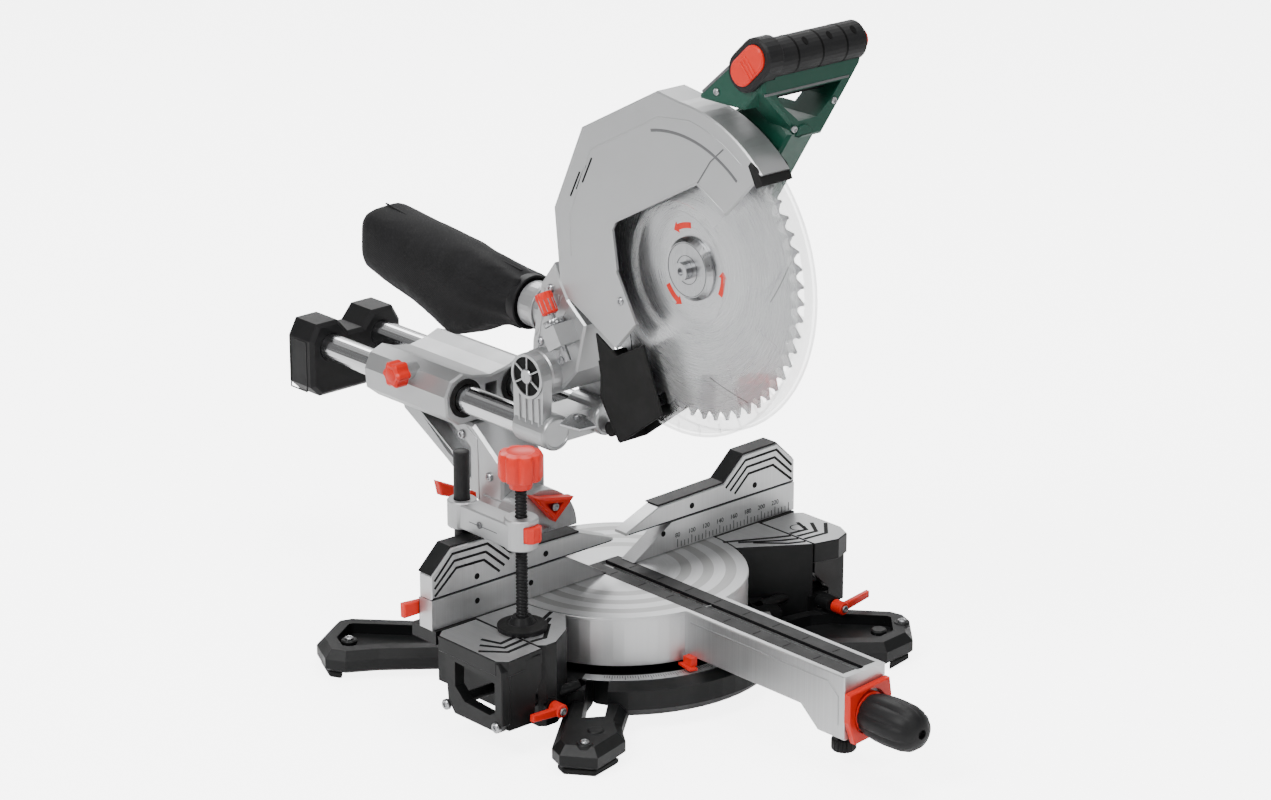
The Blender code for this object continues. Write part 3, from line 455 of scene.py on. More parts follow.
def make_finishes(colours):
    for build in (edge_wear_group, grain_group, dust_group, drawn_lines_group, weave_group):
        build()
    black = tuple(colours.cast_black)
    dull = {"Specular_IOR_Level": 0.22}
    moulded("Powder coat", black, 0.32, 0.46, 900.0, 0.05, dust=0.012, wear=0.2, **dull)
    moulded("Black rubber", (0.006, 0.006, 0.006), 0.6, 0.76, 1400.0, 0.05, dust=0.015, **dull)
    moulded("Black plastic", tuple(colours.plastic_black), 0.4, 0.54, 2200.0, 0.03, dust=0.012, **dull)
    moulded("Grip plastic", (0.009, 0.009, 0.0095), 0.46, 0.6, 1300.0, 0.09, dust=0.01, wear=0.12, **dull)
    # Deep black serves for printed marks and the black chevron grooves, and as painted shade in holes, slots,
    # vents, a recess and the grip's grooves.
    moulded(
        "Deep black", (0.003, 0.003, 0.003), 0.5, 0.6, 1500.0, 0.02, dust=0.0, wear=0.0,
        Specular_IOR_Level=0.1
    )
    moulded(
        "Red plastic", tuple(colours.red), 0.32, 0.44, 1900.0, 0.02, dust=0.01, wear=0.1,
        Specular_IOR_Level=0.3
    )
    moulded(
        "Green plastic", tuple(colours.green), 0.34, 0.48, 1900.0, 0.03, dust=0.012, wear=0.15,
        Specular_IOR_Level=0.3
    )
    silver = tuple(colours.silver)
    moulded("Silver paint", silver, 0.33, 0.43, 2600.0, 0.02, dust=0.01, wear=0.25, metallic=0.7)
    moulded("Grey band", (0.1, 0.102, 0.105), 0.4, 0.5, 1800.0, 0.02, dust=0.02, metallic=0.2)
    centre = (ORIGIN.x, ORIGIN.y)
    # The turntable's groove rings, painted darker as shade in the grooves.
    rings = ((62, 73, 0.36), (85, 96, 0.36), (108, 119, 0.36))
    turned_metal("Turned table", (0.58, 0.585, 0.59), "X", "Y", centre, 0.33, 0.02, rings)
    straight_metal("Milled fence", (0.56, 0.565, 0.57), (1500.0, 8.0, 8.0), 0.34, 0.9, 0.02)
    straight_metal("Ground steel", (0.44, 0.445, 0.455), (500.0, 500.0, 60.0), 0.26)
    straight_metal("Polished rail", (0.70, 0.705, 0.715), (300.0, 9.0, 300.0), 0.12, 1.0, 0.002)
    straight_metal("Carbide", (0.40, 0.40, 0.41), (900.0, 900.0, 900.0), 0.3)
    blade = (ORIGIN.y + BLADE_CENTRE[0] * MM, ORIGIN.z + BLADE_CENTRE[1] * MM)
    # The blade's thin ring is painted darker as shade in a groove.
    turned_metal("Saw blade", (0.50, 0.505, 0.515), "Y", "Z", blade, 0.24, 0.008, ((24, 24.6, 0.12),))
    tree, shader = blank("Clear guard", 0.02, Transmission_Weight=1.0, IOR=1.49, Alpha=0.22)
    shader.inputs["Base Color"].default_value = (0.86, 0.89, 0.89, 1)
    here = add(tree, "ShaderNodeTexCoord").outputs["Object"]
    scuffs = add(tree, "ShaderNodeTexNoise", Vector=here, Scale=60.0, Detail=6.0).outputs["Fac"]
    tree.links.new(spread(tree, scuffs, 0.45, 0.75, 0.02, 0.09), shader.inputs["Roughness"])
    tree, shader = blank("Bag cloth", 0.85, Sheen_Weight=0.08, Sheen_Roughness=0.5, Specular_IOR_Level=0.15)
    threads = grouped(tree, "Weave", Threads=2600.0)["Height"]
    here = add(tree, "ShaderNodeTexCoord").outputs["Object"]
    mottle = add(tree, "ShaderNodeTexNoise", Vector=here, Scale=35.0, Detail=6.0).outputs["Fac"]
    cloth = tuple(colours.cloth)
    shade = tint(
        tree, spread(tree, mottle, 0.35, 0.7), (*[c * 0.7 for c in cloth], 1),
        (*[c * 1.5 for c in cloth], 1)
    )
    # Raised thread crowns are painted lighter: a painted highlight on the weave.
    thread_highlit = tint(tree, spread(tree, threads, 0.2, 1.0, 0.0, 0.4), shade, (0.016, 0.016, 0.017, 1))
    tree.links.new(thread_highlit, shader.inputs["Base Color"])
    tree.links.new(spread(tree, mottle, 0.3, 0.7, 0.78, 0.92), shader.inputs["Roughness"])
    raise_surface(tree, shader, threads, 0.12, 0.7)


SLOT_FINISH = {
    "cast_black": "Powder coat",
    "rubber": "Black rubber",
    "plastic_black": "Black plastic",
    "aluminium": "Milled fence",
    "paint_grey": "Silver paint",
    "steel": "Ground steel",
    "red": "Red plastic",
    "green": "Green plastic",
    "clear": "Clear guard",
    "fabric": "Bag cloth",
}
NODE_FINISH = {
    "turntable": "Turned table",
    "rail_left": "Polished rail",
    "rail_right": "Polished rail",
    "blade": "Saw blade",
    "handle_grip": "Grip plastic",
    "mitre_lock_grip": "Grip plastic",
    "bevel_drum": "Milled fence",
}


def dress_packed_pieces():
    slots = {part["node"]: part["material_slot"] for part in frame["record"]["subparts"]}
    for name, obj in NODES.items():
        finish = NODE_FINISH.get(name, SLOT_FINISH[slots[name]])
        obj.material_slots[0].material = bpy.data.materials[finish]


# Pieces.


def build_base(sizes):
    """Machined wing tops, the degree scale and the bolts of the feet."""
    hub = HUB_R + 2
    left = [
        (-193.5, -95), (-187, -100), (-174.5, -100), (-146.5, -83.5), *arc((0, 0), hub, 204, 181, 6),
        (-193.5, -2)
    ]
    right = [(193.5, -83), (128, -38), *arc((0, 0), hub, -16, -1, 5), (193.5, -2)]
    for name, outline in (("left", left), ("right", right)):
        piece("wing_top_" + name, [prism(outline, "Z", -1, PROUD)], "Milled fence", "base", 0.1)
    lines = []
    for step in range(3):
        shift = 11 * step
        lines.append(
            prism(
                ribbon([(-193, -84 + shift), (-176, -86 + shift), (-150 + shift, -62 + shift)], 4.2), "Z",
                0, PROUD + 0.1
            )
        )
        lines.append(
            prism(
                ribbon([(193, -74 + shift), (176, -66 + shift), (150 - shift, -40 + shift)], 4.2), "Z", 0,
                PROUD + 0.1
            )
        )
    piece("wing_grooves", lines, "Deep black", "base", 0)
    ring = arc((0, 0), 156, 214, 326, 48) + arc((0, 0), 143, 326, 214, 48)
    piece(
        "degree_band", [prism(ring, "Z", RECESS_LEDGE - 0.5, RECESS_LEDGE + 0.3)], "Milled fence", "base",
        0.1
    )
    ticks = []
    for degree in range(-48, 49, 1):
        angle = math.radians(270 + degree)
        reach = 154.5 if degree % 5 == 0 else 150.5
        ends = [(r * math.cos(angle), r * math.sin(angle)) for r in (145, reach)]
        ticks.append(prism(ribbon(ends, 0.5), "Z", RECESS_LEDGE, RECESS_LEDGE + 0.4))
    piece("degree_ticks", ticks, "Deep black", "base", 0)
    bolts = []
    for spot in ((-204, -176), (240, -170), (-214, 178), (214, 178), (-176, -160), (208, -168)):
        bolts.append(turned([(0, -73), (7, -73), (8.5, -74.5), (8.5, -78), (0, -78)], "Z", spot, 24))
    piece("foot_bosses", bolts, "Powder coat", "base", 0.4)
    heads = [screw("Z", (x, y), -73, 4.5, 1) for x, y in ((-204, -176), (240, -170), (-214, 178), (214, 178))]
    piece("foot_screws", heads, "Ground steel", "base", 0.1)
    marks = []
    for mark in range(80, 245, 5):
        tall = 9 if mark % 20 == 0 else 6
        if mark < FENCE_END - 3:
            marks.append(block(mark - 0.35, mark + 0.35, -0.15, 0.3, 2, 2 + tall))
    piece("rule_ticks", marks, "Deep black", "base", 0)
    for mark in range(80, 221, 20):
        rule_number(mark, sizes)
    piece(
        "fence_backing",
        [block(s * 238 - 10, s * 238 + 9.6, FENCE_BACK, FENCE_BACK + 1.2, 1, 31) for s in (-1, 1)],
        "Powder coat", "base", 0.3
    )
    # Black discs on the fence face: painted shade standing in for its holes.
    holes = [
        turned(
            [(0, -0.1), (3, -0.1), (3, 0.4), (0, 0.4)], "Y", spot, 20
        ) for spot in ((-120, 17), (-190, 17), (60, 22))
    ]
    piece("fence_hole_shade", holes, "Deep black", "base", 0)
    ends = [screw("X", (y, -60), x, 5.0, s) for x, y, s in ((-194, -40, -1), (-194, -90, -1))]
    piece("rod_end_screws", ends, "Ground steel", "base", 0.1)


def rule_number(mark, sizes):
    """Plain figures of the fence rule, standing over their mark."""
    text = bpy.data.curves.new(f"rule_number_{mark}", "FONT")
    text.body = str(mark)
    text.size = sizes.figure_height * 1.35
    text.align_x = "CENTER"
    text.extrude = 0.0001
    shown = bpy.data.objects.new(f"rule_text_{mark}", text)
    bpy.context.scene.collection.objects.link(shown)
    graph = bpy.context.evaluated_depsgraph_get()
    mesh = bpy.data.meshes.new_from_object(shown.evaluated_get(graph))
    bpy.data.objects.remove(shown)
    spot = Vector((mark, -0.1, 13.5)) * MM + ORIGIN
    mesh.transform(Matrix.Translation(spot) @ Matrix.Rotation(math.radians(90), 4, "X"))
    figures = bpy.data.objects.new(f"rule_number_{mark}", mesh)
    bpy.context.scene.collection.objects.link(figures)
    figures.data.materials.clear()
    figures.data.materials.append(bpy.data.materials["Deep black"])
    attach(figures, "base")


def build_sliding_fences():
    """Chevron grooves and edge lips on the two sliding upper fences, with black discs painted as the shade of
    their holes.
    """
    for side, body in ((-1, "fence_slide_l"), (1, "fence_slide_r")):
        name = "left" if side < 0 else "right"
        lines = []
        for step in range(3):
            drop = 8 * step
            path = [
                (side * 244, 52 - drop), (side * (221 - drop * 0.3), 75 - drop),
                (side * (176 + drop * 0.3), 74 - drop)
            ]
            path.append((side * (148 + drop * 0.8), 50 - drop * 0.6))
            lines.append(prism(ribbon(path, 2.6), "Y", -0.15, 0.4))
        lines.append(block(*sorted((side * 12, side * 247)), -0.12, 0.4, 33.2, 34.4))
        # Black discs painted as the shade inside the fence's holes.
        lines += [
            turned(
                [(0, -0.12), (3.2, -0.12), (3.2, 0.4), (0, 0.4)], "Y", (side * x, 43), 20
            ) for x in (100, 190)
        ]
        piece("fence_grooves_" + name, lines, "Deep black", body, 0)
        lip = ribbon(
            [(side * 247, 58), (side * 222, 82), (side * 174, 81), (side * 146, 56), (side * 54, 54)], 1.6
        )
        piece("fence_lip_" + name, [prism(lip, "Y", 2, FENCE_BACK + 2.5)], "Powder coat", body, 0.3)


def build_table_ends():
    """Silver tops with black chevrons on the two pull-out table ends."""
    left = [(-196.5, -103), (-240.5, -107), (-249, -97.5), (-249, -12.5), (-239.5, -5), (-196.5, -5)]
    right = [(196.5, -84), (223.5, -91), (242.5, -84), (250, -67.5), (250, -12.5), (240.5, -5), (196.5, -5)]
    for name, outline, body in (("left", left, "extension_l"), ("right", right, "extension_r")):
        piece("end_top_" + name, [prism(outline, "Z", -0.6, PROUD)], "Milled fence", body, 0.1)
    for name, side, body, front in (("left", -1, "extension_l", -98), ("right", 1, "extension_r", -80)):
        lines = []
        for step in range(3):
            shift = 10.5 * step
            path = [
                (side * 197, front + 12 + shift), (side * (226 - shift * 0.4), front + 9 + shift),
                (side * (246 - shift), front + 30 + shift)
            ]
            lines.append(prism(ribbon(path, 4.2), "Z", 0, PROUD + 0.1))
        piece("end_grooves_" + name, lines, "Deep black", body, 0)
    ends = [screw("X", (y, z), -249.3, 5.5, -1) for y, z in ((-22, -70), (-98, -70))]
    piece("end_wall_screws", ends, "Ground steel", "extension_l", 0.1)
    badge = ribbon(arc((215, -40), 8, 0, 350, 30), 1.2)
    piece("end_ring", [prism(badge, "Z", 0, PROUD + 0.1)], "Deep black", "extension_r", 0)
    for x, body, tip in ((-182, "extension_lock_l", -1), (207, "extension_lock_r", 1)):
        piece(body + "_screw", [screw("Y", (x, -66), -119, 4.0, -1)], "Ground steel", body, 0.1)


def build_turntable():
    """Screws and marks of the slot boards, arm relief lines and the hub's rim."""
    heads = [
        screw("Z", spot, -2.0, 3.8, 1) for spot in (
            (-14, 18), (14, 18), (-14, -160), (14, -160), (-14, -330), (14, -330)
        )
    ]
    piece("board_screws", heads, "Ground steel", "turntable", 0.1)
    marks = [block(-18, -8, y, y + 1.4, -0.1, 0.12) for y in range(-300, 0, 42)]
    marks += [block(8, 18, y, y + 1.4, -0.1, 0.12) for y in range(-300, 0, 42)]
    piece("board_marks", marks, "Deep black", "turntable", 0)
    lines = []
    for side in (-1, 1):
        path = [(-136, -10), (-330, -10), (-344, -22), (-344, -52)]
        shape = prism(ribbon(path, 1.6), "X", *sorted((side * (ARM_HALF - 0.5), side * (ARM_HALF + 0.5))))
        lines.append(shape)
    piece("arm_relief", lines, "Silver paint", "turntable", 0.3)
    rim = turned(
        [(HUB_R + 0.5, -1.5), (HUB_R + 0.5, -4.5), (HUB_R - 0.5, -4.5), (HUB_R - 0.5, -1.5)], "Z", (0, 0),
        128
    )
    piece("hub_rim", [rim], "Turned table", "turntable", 0.2)


def build_mitre_controls():
    """Fluted lock grip and the ribbed foot on its threaded rod."""
    grip = [
        (0, -353), (15, -353), (16, -355), (19, -359), (22, -368), (23.6, -382), (24, -394), (23.4, -408),
        (21, -418)
    ]
    grip += [(16, -425), (9, -428.5), (5, -429), (4.6, -424), (0, -424)]
    fluted = turned(grip, "Y", (0, -42), 72, flutes=9, depth=2.2)
    piece("fluted_grip", [fluted], "Grip plastic", "mitre_grip", 0, ["mitre_lock_grip"])
    rod = [(0, -36), (5.6, -36)]
    for turn in range(14):
        rod += [(6.0, -37 - turn * 3), (5.1, -38.5 - turn * 3)]
    rod += [(5.6, -79), (11.5, -79), (12.5, -81), (12.5, -90), (11, -92), (0, -92)]
    foot = turned(rod, "Z", (0, -325), 72, flutes=18, depth=1.1)
    piece("ribbed_foot", [foot], "Black plastic", "front_foot", 0.1, ["front_foot"])
    collar = turned(
        [(16.4, -352.8), (20.6, -352.8), (20.6, -360.9), (19.4, -361.4), (16.4, -361.4)], "Y", (0, -41), 40
    )
    piece("detent_collar", [collar], "Red plastic", "detent", 0.3)


def threaded(low, high, outer, inner, pitch):
    """Profile of a threaded rod drawn as close rings."""
    profile = [(0, low), (inner, low)]
    count = int((high - low) / pitch) - 1
    for turn in range(count):
        profile += [
            (inner, low + (turn + 0.35) * pitch), (outer, low + (turn + 0.7) * pitch),
            (outer, low + (turn + 0.95) * pitch)
        ]
    return profile + [(inner, high), (0, high)]


def build_hold_down():
    """Threaded screw, the knob's cap and finger dents, and the column's end."""
    spindle = turned(threaded(8, 170, 6.0, 4.9, 3.6), "Z", KNOB, 28)
    piece("clamp_thread", [spindle], "Black plastic", "clamp_spindle", 0, ["clamp_screw"])
    knob = [
        (6.5, 148.5), (11, 148.5), (12.5, 156), (20.5, 158), (22.4, 162), (22.4, 181), (20.5, 185),
        (14, 186.6), (12, 185.5)
    ]
    knob += [(0, 185.5), (0, 171), (6.5, 171)]
    piece(
        "clamp_lobed_knob", [turned(knob, "Z", KNOB, 96, flutes=8, depth=3.2)], "Red plastic",
        "clamp_spindle", 0.2, ["clamp_knob"]
    )
    cap = turned([(0, 166.4), (5, 166.4), (8, 165), (8, 163), (0, 163)], "Z", (-183, 30), 28)
    piece("column_cap", [cap], "Black plastic", "clamp_post", 0.2)
    seam = [block(-194.3, -170.7, -36, 6, 99.6, 100.4), screw("X", (-10, 101), -194.0, 3.6, -1)]
    piece("clamp_arm_seam", seam, "Grey band", "clamp_bracket", 0.1)
    pad = turned([(14, 6.5), (15, 7.2), (24.6, 5.2), (25.0, 4.4), (24, 4.0), (14, 5.4)], "Z", KNOB, 56)
    piece("clamp_pad_rim", [pad], "Black rubber", "clamp_foot", 0.1)


def build_tilt_and_rails():
    """Bolts, panel lines and rings of the tilt arm, rail housing, bracket and end cap."""
    bolts = [screw("X", spot, TILT_ARM_FACE - 0.4, 5, -1) for spot in ((170, 60), (214, 96))]
    piece("tilt_arm_bolts", bolts, "Ground steel", "tilt", 0.1)
    ribs = [
        prism(ribbon([(206, 52), (234, 74), (284, 104)], 2.2), "X", TILT_ARM_FACE - 0.6, TILT_ARM_FACE + 1),
        prism(ribbon([(188, 30), (190, 96), (206, 106)], 2.2), "X", TILT_ARM_FACE - 0.6, TILT_ARM_FACE + 1)
    ]
    piece("tilt_arm_ribs", ribs, "Silver paint", "tilt", 0.4)
    rings = []
    for x in (-RAIL_X, RAIL_X):
        rings.append(
            turned(
                [(RAIL_R + 0.5, 200.5), (20.8, 200.5), (20.8, 204), (RAIL_R + 0.5, 204)], "Y", (x, RAIL_Z),
                40
            )
        )
        rings.append(
            turned(
                [(RAIL_R + 0.5, 336), (20.8, 336), (20.8, 339.5), (RAIL_R + 0.5, 339.5)], "Y", (x, RAIL_Z),
                40
            )
        )
    piece("rail_wipers", rings, "Black rubber", "tilt", 0.2)
    knob_cap = turned([(0, -85.2), (5, -85.2), (7, -84.4), (7, -83), (0, -83)], "X", (265, 160), 28)
    piece("slide_knob_cap", [knob_cap], "Red plastic", "slide_lock", 0.2)
    ring = turned([(20.4, -52.0), (23.8, -52.0), (23.8, -49.5), (20.4, -49.5)], "X", PIVOT, 48)
    hub = turned(
        [(0, -51.0), (2.6, -51.0), (3.4, -52.2), (7.4, -52.2), (7.8, -49.5), (0, -49.5)], "X", PIVOT, 32
    )
    spokes = []
    for degree in range(30, 390, 60):
        angle = math.radians(degree)
        ends = [(PIVOT[0] + r * math.cos(angle), PIVOT[1] + r * math.sin(angle)) for r in (7, 21.5)]
        spokes.append(prism(ribbon(ends, 1.8), "X", BRACKET_FACE - 2.3, BRACKET_FACE))
    for y in (66, 76, 86, 96):
        spokes.append(prism(ribbon([(y, 148), (y + 1, 178)], 1.8), "X", BRACKET_FACE - 2.3, BRACKET_FACE))
    piece("pivot_ring", [ring, hub, *spokes], "Silver paint", "rails", 0.3)
    # A black disc in the pivot's recess: painted shade.
    recess_shade = turned([(6, -50.3), (21.4, -50.3), (21.4, -49.6), (6, -49.6)], "X", PIVOT, 40)
    piece("latch_screw", [screw("Y", (10, 33), 112.4, 4.5, -1)], "Ground steel", "latch", 0.1)
    piece("pivot_recess_shade", [recess_shade], "Deep black", "rails", 0)
    caps = []
    for x in (-RAIL_X, RAIL_X):
        caps.append(
            turned(
                [(0, 56.6), (14.6, 56.6), (15.2, 55.4), (17.6, 55.8), (18.6, 57.4), (18.6, 60), (0, 60)],
                "Y", (x, RAIL_Z), 48
            )
        )
    piece("bracket_caps", caps, "Silver paint", "rails", 0.3)
    panel = [
        prism(
            ribbon([(438, 92), (466, 92), (466, 148), (438, 148), (438, 92)], 1.6), "X", *ends
        ) for ends in ((-62.6, -61.4), (61.4, 62.6))
    ]
    panel += [block(-40, 40, 471.4, 472.4, z, z + 3) for z in (104, 116, 128, 140)]
    piece("end_cap_ribs", panel, "Black plastic", "rails", 0.4)
    lean = about_x(DEPTH_SCREW[1:], DEPTH_LEAN)
    x, y, z = DEPTH_SCREW
    cap = [
        (0, z + 9), (7.4, z + 9), (8.8, z + 10.5), (8.8, z + 24), (9.6, z + 27), (8.6, z + 31.5),
        (0, z + 31.5)
    ]
    shape = moved(turned(cap, "Z", (x, y), 48, flutes=10, depth=0.9), lean)
    piece("depth_screw_cap", [shape], "Red plastic", "depth_screw", 0.2)
    nut = moved(
        turned(
            [(4, z - 3), (10.5, z - 3), (11, z - 2), (11, z + 1.6), (10.5, z + 2.6), (4, z + 2.6)], "Z",
            (x, y), 40, flutes=16, depth=0.8
        ),
        lean
    )
    piece("depth_screw_nut", [nut], "Ground steel", "depth_screw", 0.2)
    piece("stop_plate_screw", [screw("Z", (-16, 47), 156.2, 4.5, 1)], "Ground steel", "stop_plate", 0.1)


def build_head():
    """Ribs and bolts of the head casting, guard panel lines and its black front end, deflector lip."""
    bolts = [screw("X", spot, HEAD_FACE - 0.4, 4.6, -1) for spot in ((92, 228), (76, 288), (60, 215))]
    bolts.append(screw("X", (-30, 300), GUARD_FACE, 4.2, -1))
    piece("head_bolts", bolts, "Ground steel", "head", 0.1)
    ribs = [
        prism(ribbon([(98, 214), (86, 286)], 2.4), "X", HEAD_FACE - 0.6, HEAD_FACE + 0.6),
        prism(ribbon([(70, 206), (48, 264)], 2.4), "X", HEAD_FACE - 0.6, HEAD_FACE + 0.6)
    ]
    ribs.append(prism(ribbon([(84, 212), (64, 284)], 2.0), "X", HEAD_FACE - 0.6, HEAD_FACE + 0.6))
    for k in range(4):
        ribs.append(
            prism(
                ribbon([(100 - k * 13, 232 + k * 4), (70 - k * 11, 292 - k * 8)], 1.2), "X",
                HEAD_FACE - 0.5, HEAD_FACE + 0.6
            )
        )
    piece("head_ribs", ribs, "Silver paint", "head", 0.3)
    y, z = BLADE_CENTRE
    face = GUARD_FACE
    outer = [(44, 330), (46, 372), (14, 446), (-84, 499), *arc((y, z), 158, 97, 126, 8)]
    piece(
        "guard_panel_line", [prism(ribbon(outer, 1.5), "X", face - 0.45, face + 0.5)], "Silver paint",
        "head", 0.3
    )
    band = arc((y, z), 141, 76, 128, 16)
    piece("guard_band", [prism(ribbon(band, 3.0), "X", face - 0.2, face + 0.5)], "Grey band", "head", 0)
    step = [(-139, 443), (-158, 470), (-176, 486)]
    piece("guard_front_step", [prism(ribbon(step, 1.4), "X", face - 0.3, face + 0.5)], "Grey band", "head", 0)
    tip = [(-231, 462), (-223, 476), (-214, 482), (-210, 477), (-221, 457)]
    piece("guard_front_buffer", [prism(tip, "X", face - 0.8, 12.8)], "Black rubber", "head", 0.8)
    edge = ribbon([(-24, 330), (-17, 371), (-22, 380), (-139, 444.5), (-178, 423)], 2.0)
    piece("guard_window_lip", [prism(edge, "X", face - 0.5, face + 3)], "Silver paint", "head", 0.4)
    # Black strips painted as the shade inside the guard's slits.
    slits = [
        prism(
            ribbon([(30 - k * 9, 420 + k * 9), (44 - k * 9, 392 + k * 9)], 2.0), "X", face - 0.15,
            face + 0.4
        ) for k in range(3)
    ]
    piece("guard_slit_shade", slits, "Deep black", "head", 0)
    outlet = turned([(24.3, 106), (26.4, 106), (26.4, 111), (24.3, 111)], "Y", (0, OUTLET_Z), 48)
    piece("outlet_bead", [outlet], "Silver paint", "head", 0.4)
    lip = prism(
        ribbon([(2, 230), (-1, 216), (-1, 191), (-28, 151.5)], 2.2), "X", GUARD_FACE - 0.4, GUARD_FACE + 2
    )
    piece("deflector_lip", [lip], "Black rubber", "head", 0.4)
    # Black rings painted as the shade inside the motor's vent slots.
    vents = []
    for k in range(7):
        vents.append(
            turned(
                [(14 + k * 4, 112.3), (15.6 + k * 4, 112.3), (15.6 + k * 4, 111.4), (14 + k * 4, 111.4)],
                "X", (-70, 386), 48
            )
        )
    piece("motor_vent_shade", vents, "Deep black", "head", 0)


def build_blade():
    """Tooth tips and arrows on the blade, the flange's marks, and the expansion slots drawn as painted shade.
    """
    y, z = BLADE_CENTRE
    teeth = 56
    tips = []
    for i in range(teeth):
        angle = math.radians(360.0 * i / teeth)
        out = Vector((math.cos(angle), math.sin(angle)))
        way = Vector((-out.y, out.x))
        spot = Vector((y, z)) + out * (RIM_R - 0.1)
        outline = [spot, spot + way * 2.4 - out * 0.6, spot + way * 2.0 - out * 6, spot - out * 6.5]
        tips.append(prism([tuple(p) for p in outline], "X", BLADE_FACE - 0.25, -BLADE_FACE + 0.25))
    piece("tooth_tips", tips, "Carbide", "arbor", 0)
    # Black curls painted as the shade seen through the blade's expansion slots.
    slots = []
    for start in range(20, 380, 72):
        curl = []
        for k in range(9):
            angle = math.radians(start + k * 1.6 + k * k * 0.12)
            reach = RIM_R - 10 - k * 4.2
            curl.append((y + reach * math.cos(angle), z + reach * math.sin(angle)))
        slots.append(prism(ribbon(curl, 1.1), "X", BLADE_FACE - 0.12, BLADE_FACE + 0.3))
    piece("blade_slot_shade", slots, "Deep black", "arbor", 0)
    arrows = []
    for start in (60, 180, 300):
        arrows.append(
            prism(
                ribbon(arc((y, z), 43, start, start + 26, 8), 6.0), "X", BLADE_FACE - 0.2, BLADE_FACE + 0.2
            )
        )
        tip = math.radians(start - 9)
        ends = [
            (
                y + r * math.cos(math.radians(start)), z + r * math.sin(math.radians(start))
            ) for r in (37.0, 49.0)
        ]
        arrows.append(
            prism(
                [*ends, (y + 43 * math.cos(tip), z + 43 * math.sin(tip))], "X", BLADE_FACE - 0.2,
                BLADE_FACE + 0.2
            )
        )
    piece("turn_arrows", arrows, "Red plastic", "arbor", 0)
    rings = [
        turned(
            [(r, -9.25), (r + 0.7, -9.25), (r + 0.7, -8.6), (r, -8.6)], "X", (y, z), 64
        ) for r in (14, 26.6)
    ]
    piece("flange_rings", rings, "Grey band", "arbor", 0)


def build_lower_guard():
    """Rim bead and cross ribs of the clear guard."""
    y, z = BLADE_CENTRE
    bead = [
        prism(
            ribbon(arc((y, z), 163.4, 132, 294, 60), 2.4), "X", *ends
        ) for ends in ((-19.8, -18.6), (5.6, 6.8))
    ]
    for degree in range(138, 292, 11):
        angle = math.radians(degree)
        ends = [(y + r * math.cos(angle), z + r * math.sin(angle)) for r in (152.5, 162.5)]
        bead.append(prism(ribbon(ends, 2.2), "X", -19.8, -18.8))
    for first, last in (((-262, 390), (-222, 352)), ((-250, 300), (-216, 318)), ((-196, 232), (-176, 268))):
        bead.append(prism(ribbon([first, last], 3.0), "X", -19.9, -18.8))
    piece("guard_bead", bead, "Clear guard", "guard", 0.2)


def build_handle():
    """Grooves and screw holes of the grip drawn as painted shade, button ridges, body trims and screws."""
    # Black rings painted as the shade inside the grip's grooves.
    rings = []
    for x in (18, 50, 82):
        rings.append(
            turned(
                [(GRIP_R + 0.12, x), (GRIP_R + 0.12, x + 2.2), (GRIP_R - 0.6, x + 2.2), (GRIP_R - 0.6, x)],
                "X", GRIP, 56
            )
        )
    piece("grip_groove_shade", rings, "Deep black", "head", 0)
    # Black ovals painted as the shade inside the grip's screw holes.
    holes = []
    for x in (32, 64, 96):
        oval = [
            (
                x + 3.0 * math.cos(a * math.pi / 10), GRIP[0] + 4.5 * math.sin(a * math.pi / 10)
            ) for a in range(20)
        ]
        holes.append(moved(prism(oval, "Z", GRIP[1] + 18, GRIP[1] + GRIP_R + 0.2), about_x(GRIP, 42)))
    piece("grip_screw_hole_shade", holes, "Deep black", "head", 0.1)
    ridges = []
    for k in range(3):
        shift = -5 + k * 3.2
        path = [
            (GRIP[0] + 2 + shift - 7, GRIP[1] - 6 - shift - 7),
            (GRIP[0] + 2 + shift + 7, GRIP[1] - 6 - shift + 7)
        ]
        ridges.append(prism(ribbon(path, 1.4), "X", -30.7, -29.6))
    piece("button_ridges", ridges, "Red plastic", "lock_l", 0.3)
    trim = [
        block(-19, 92, GRIP[0] - 12.4, GRIP[0] - 11.4, 545, 547.5),
        block(-19, 92, -186.6, -185.6, 545, 547.5)
    ]
    piece("handle_trim", trim, "Grey band", "head", 0.3)
    shoulder = prism(ribbon([(-196, 583), (-183, 571), (-140, 534)], 3.0), "X", -20.5, 20.5)
    piece("handle_edge", [shoulder], "Grey band", "head", 0.5)
    screws = [screw("X", spot, -20.2, 3.6, -1) for spot in ((-160, 538), (-190, 556))]
    screws += [screw("Y", spot, GRIP[0] - 12.2, 3.4, -1) for spot in ((20, 507), (72, 526))]
    piece("handle_screws", screws, "Ground steel", "head", 0.1)
    tab = [(20, 500), *arc((32, 500), 10, 180, 0, 10), (44, 500)]
    piece("handle_tab", [prism(tab, "Y", GRIP[0] - 13.5, GRIP[0] - 11)], "Green plastic", "head", 0.6)


# Soft goods.

BAG_STATIONS = (
    (133, 254.0, 26.0, 26.5),
    (150, 255.0, 26.5, 28.5),
    (182, 253.0, 30.5, 34.0),
    (212, 247.0, 34.0, 42.5),
    (236, 244.5, 36.5, 48.0),
    (262, 250.0, 36.5, 44.0),
    (306, 259.0, 36.5, 38.5),
    (345, 266.0, 36.5, 36.5),
    (372, 271.5, 34.5, 35.0),
    (379, 273.0, 30.0, 30.0),
)


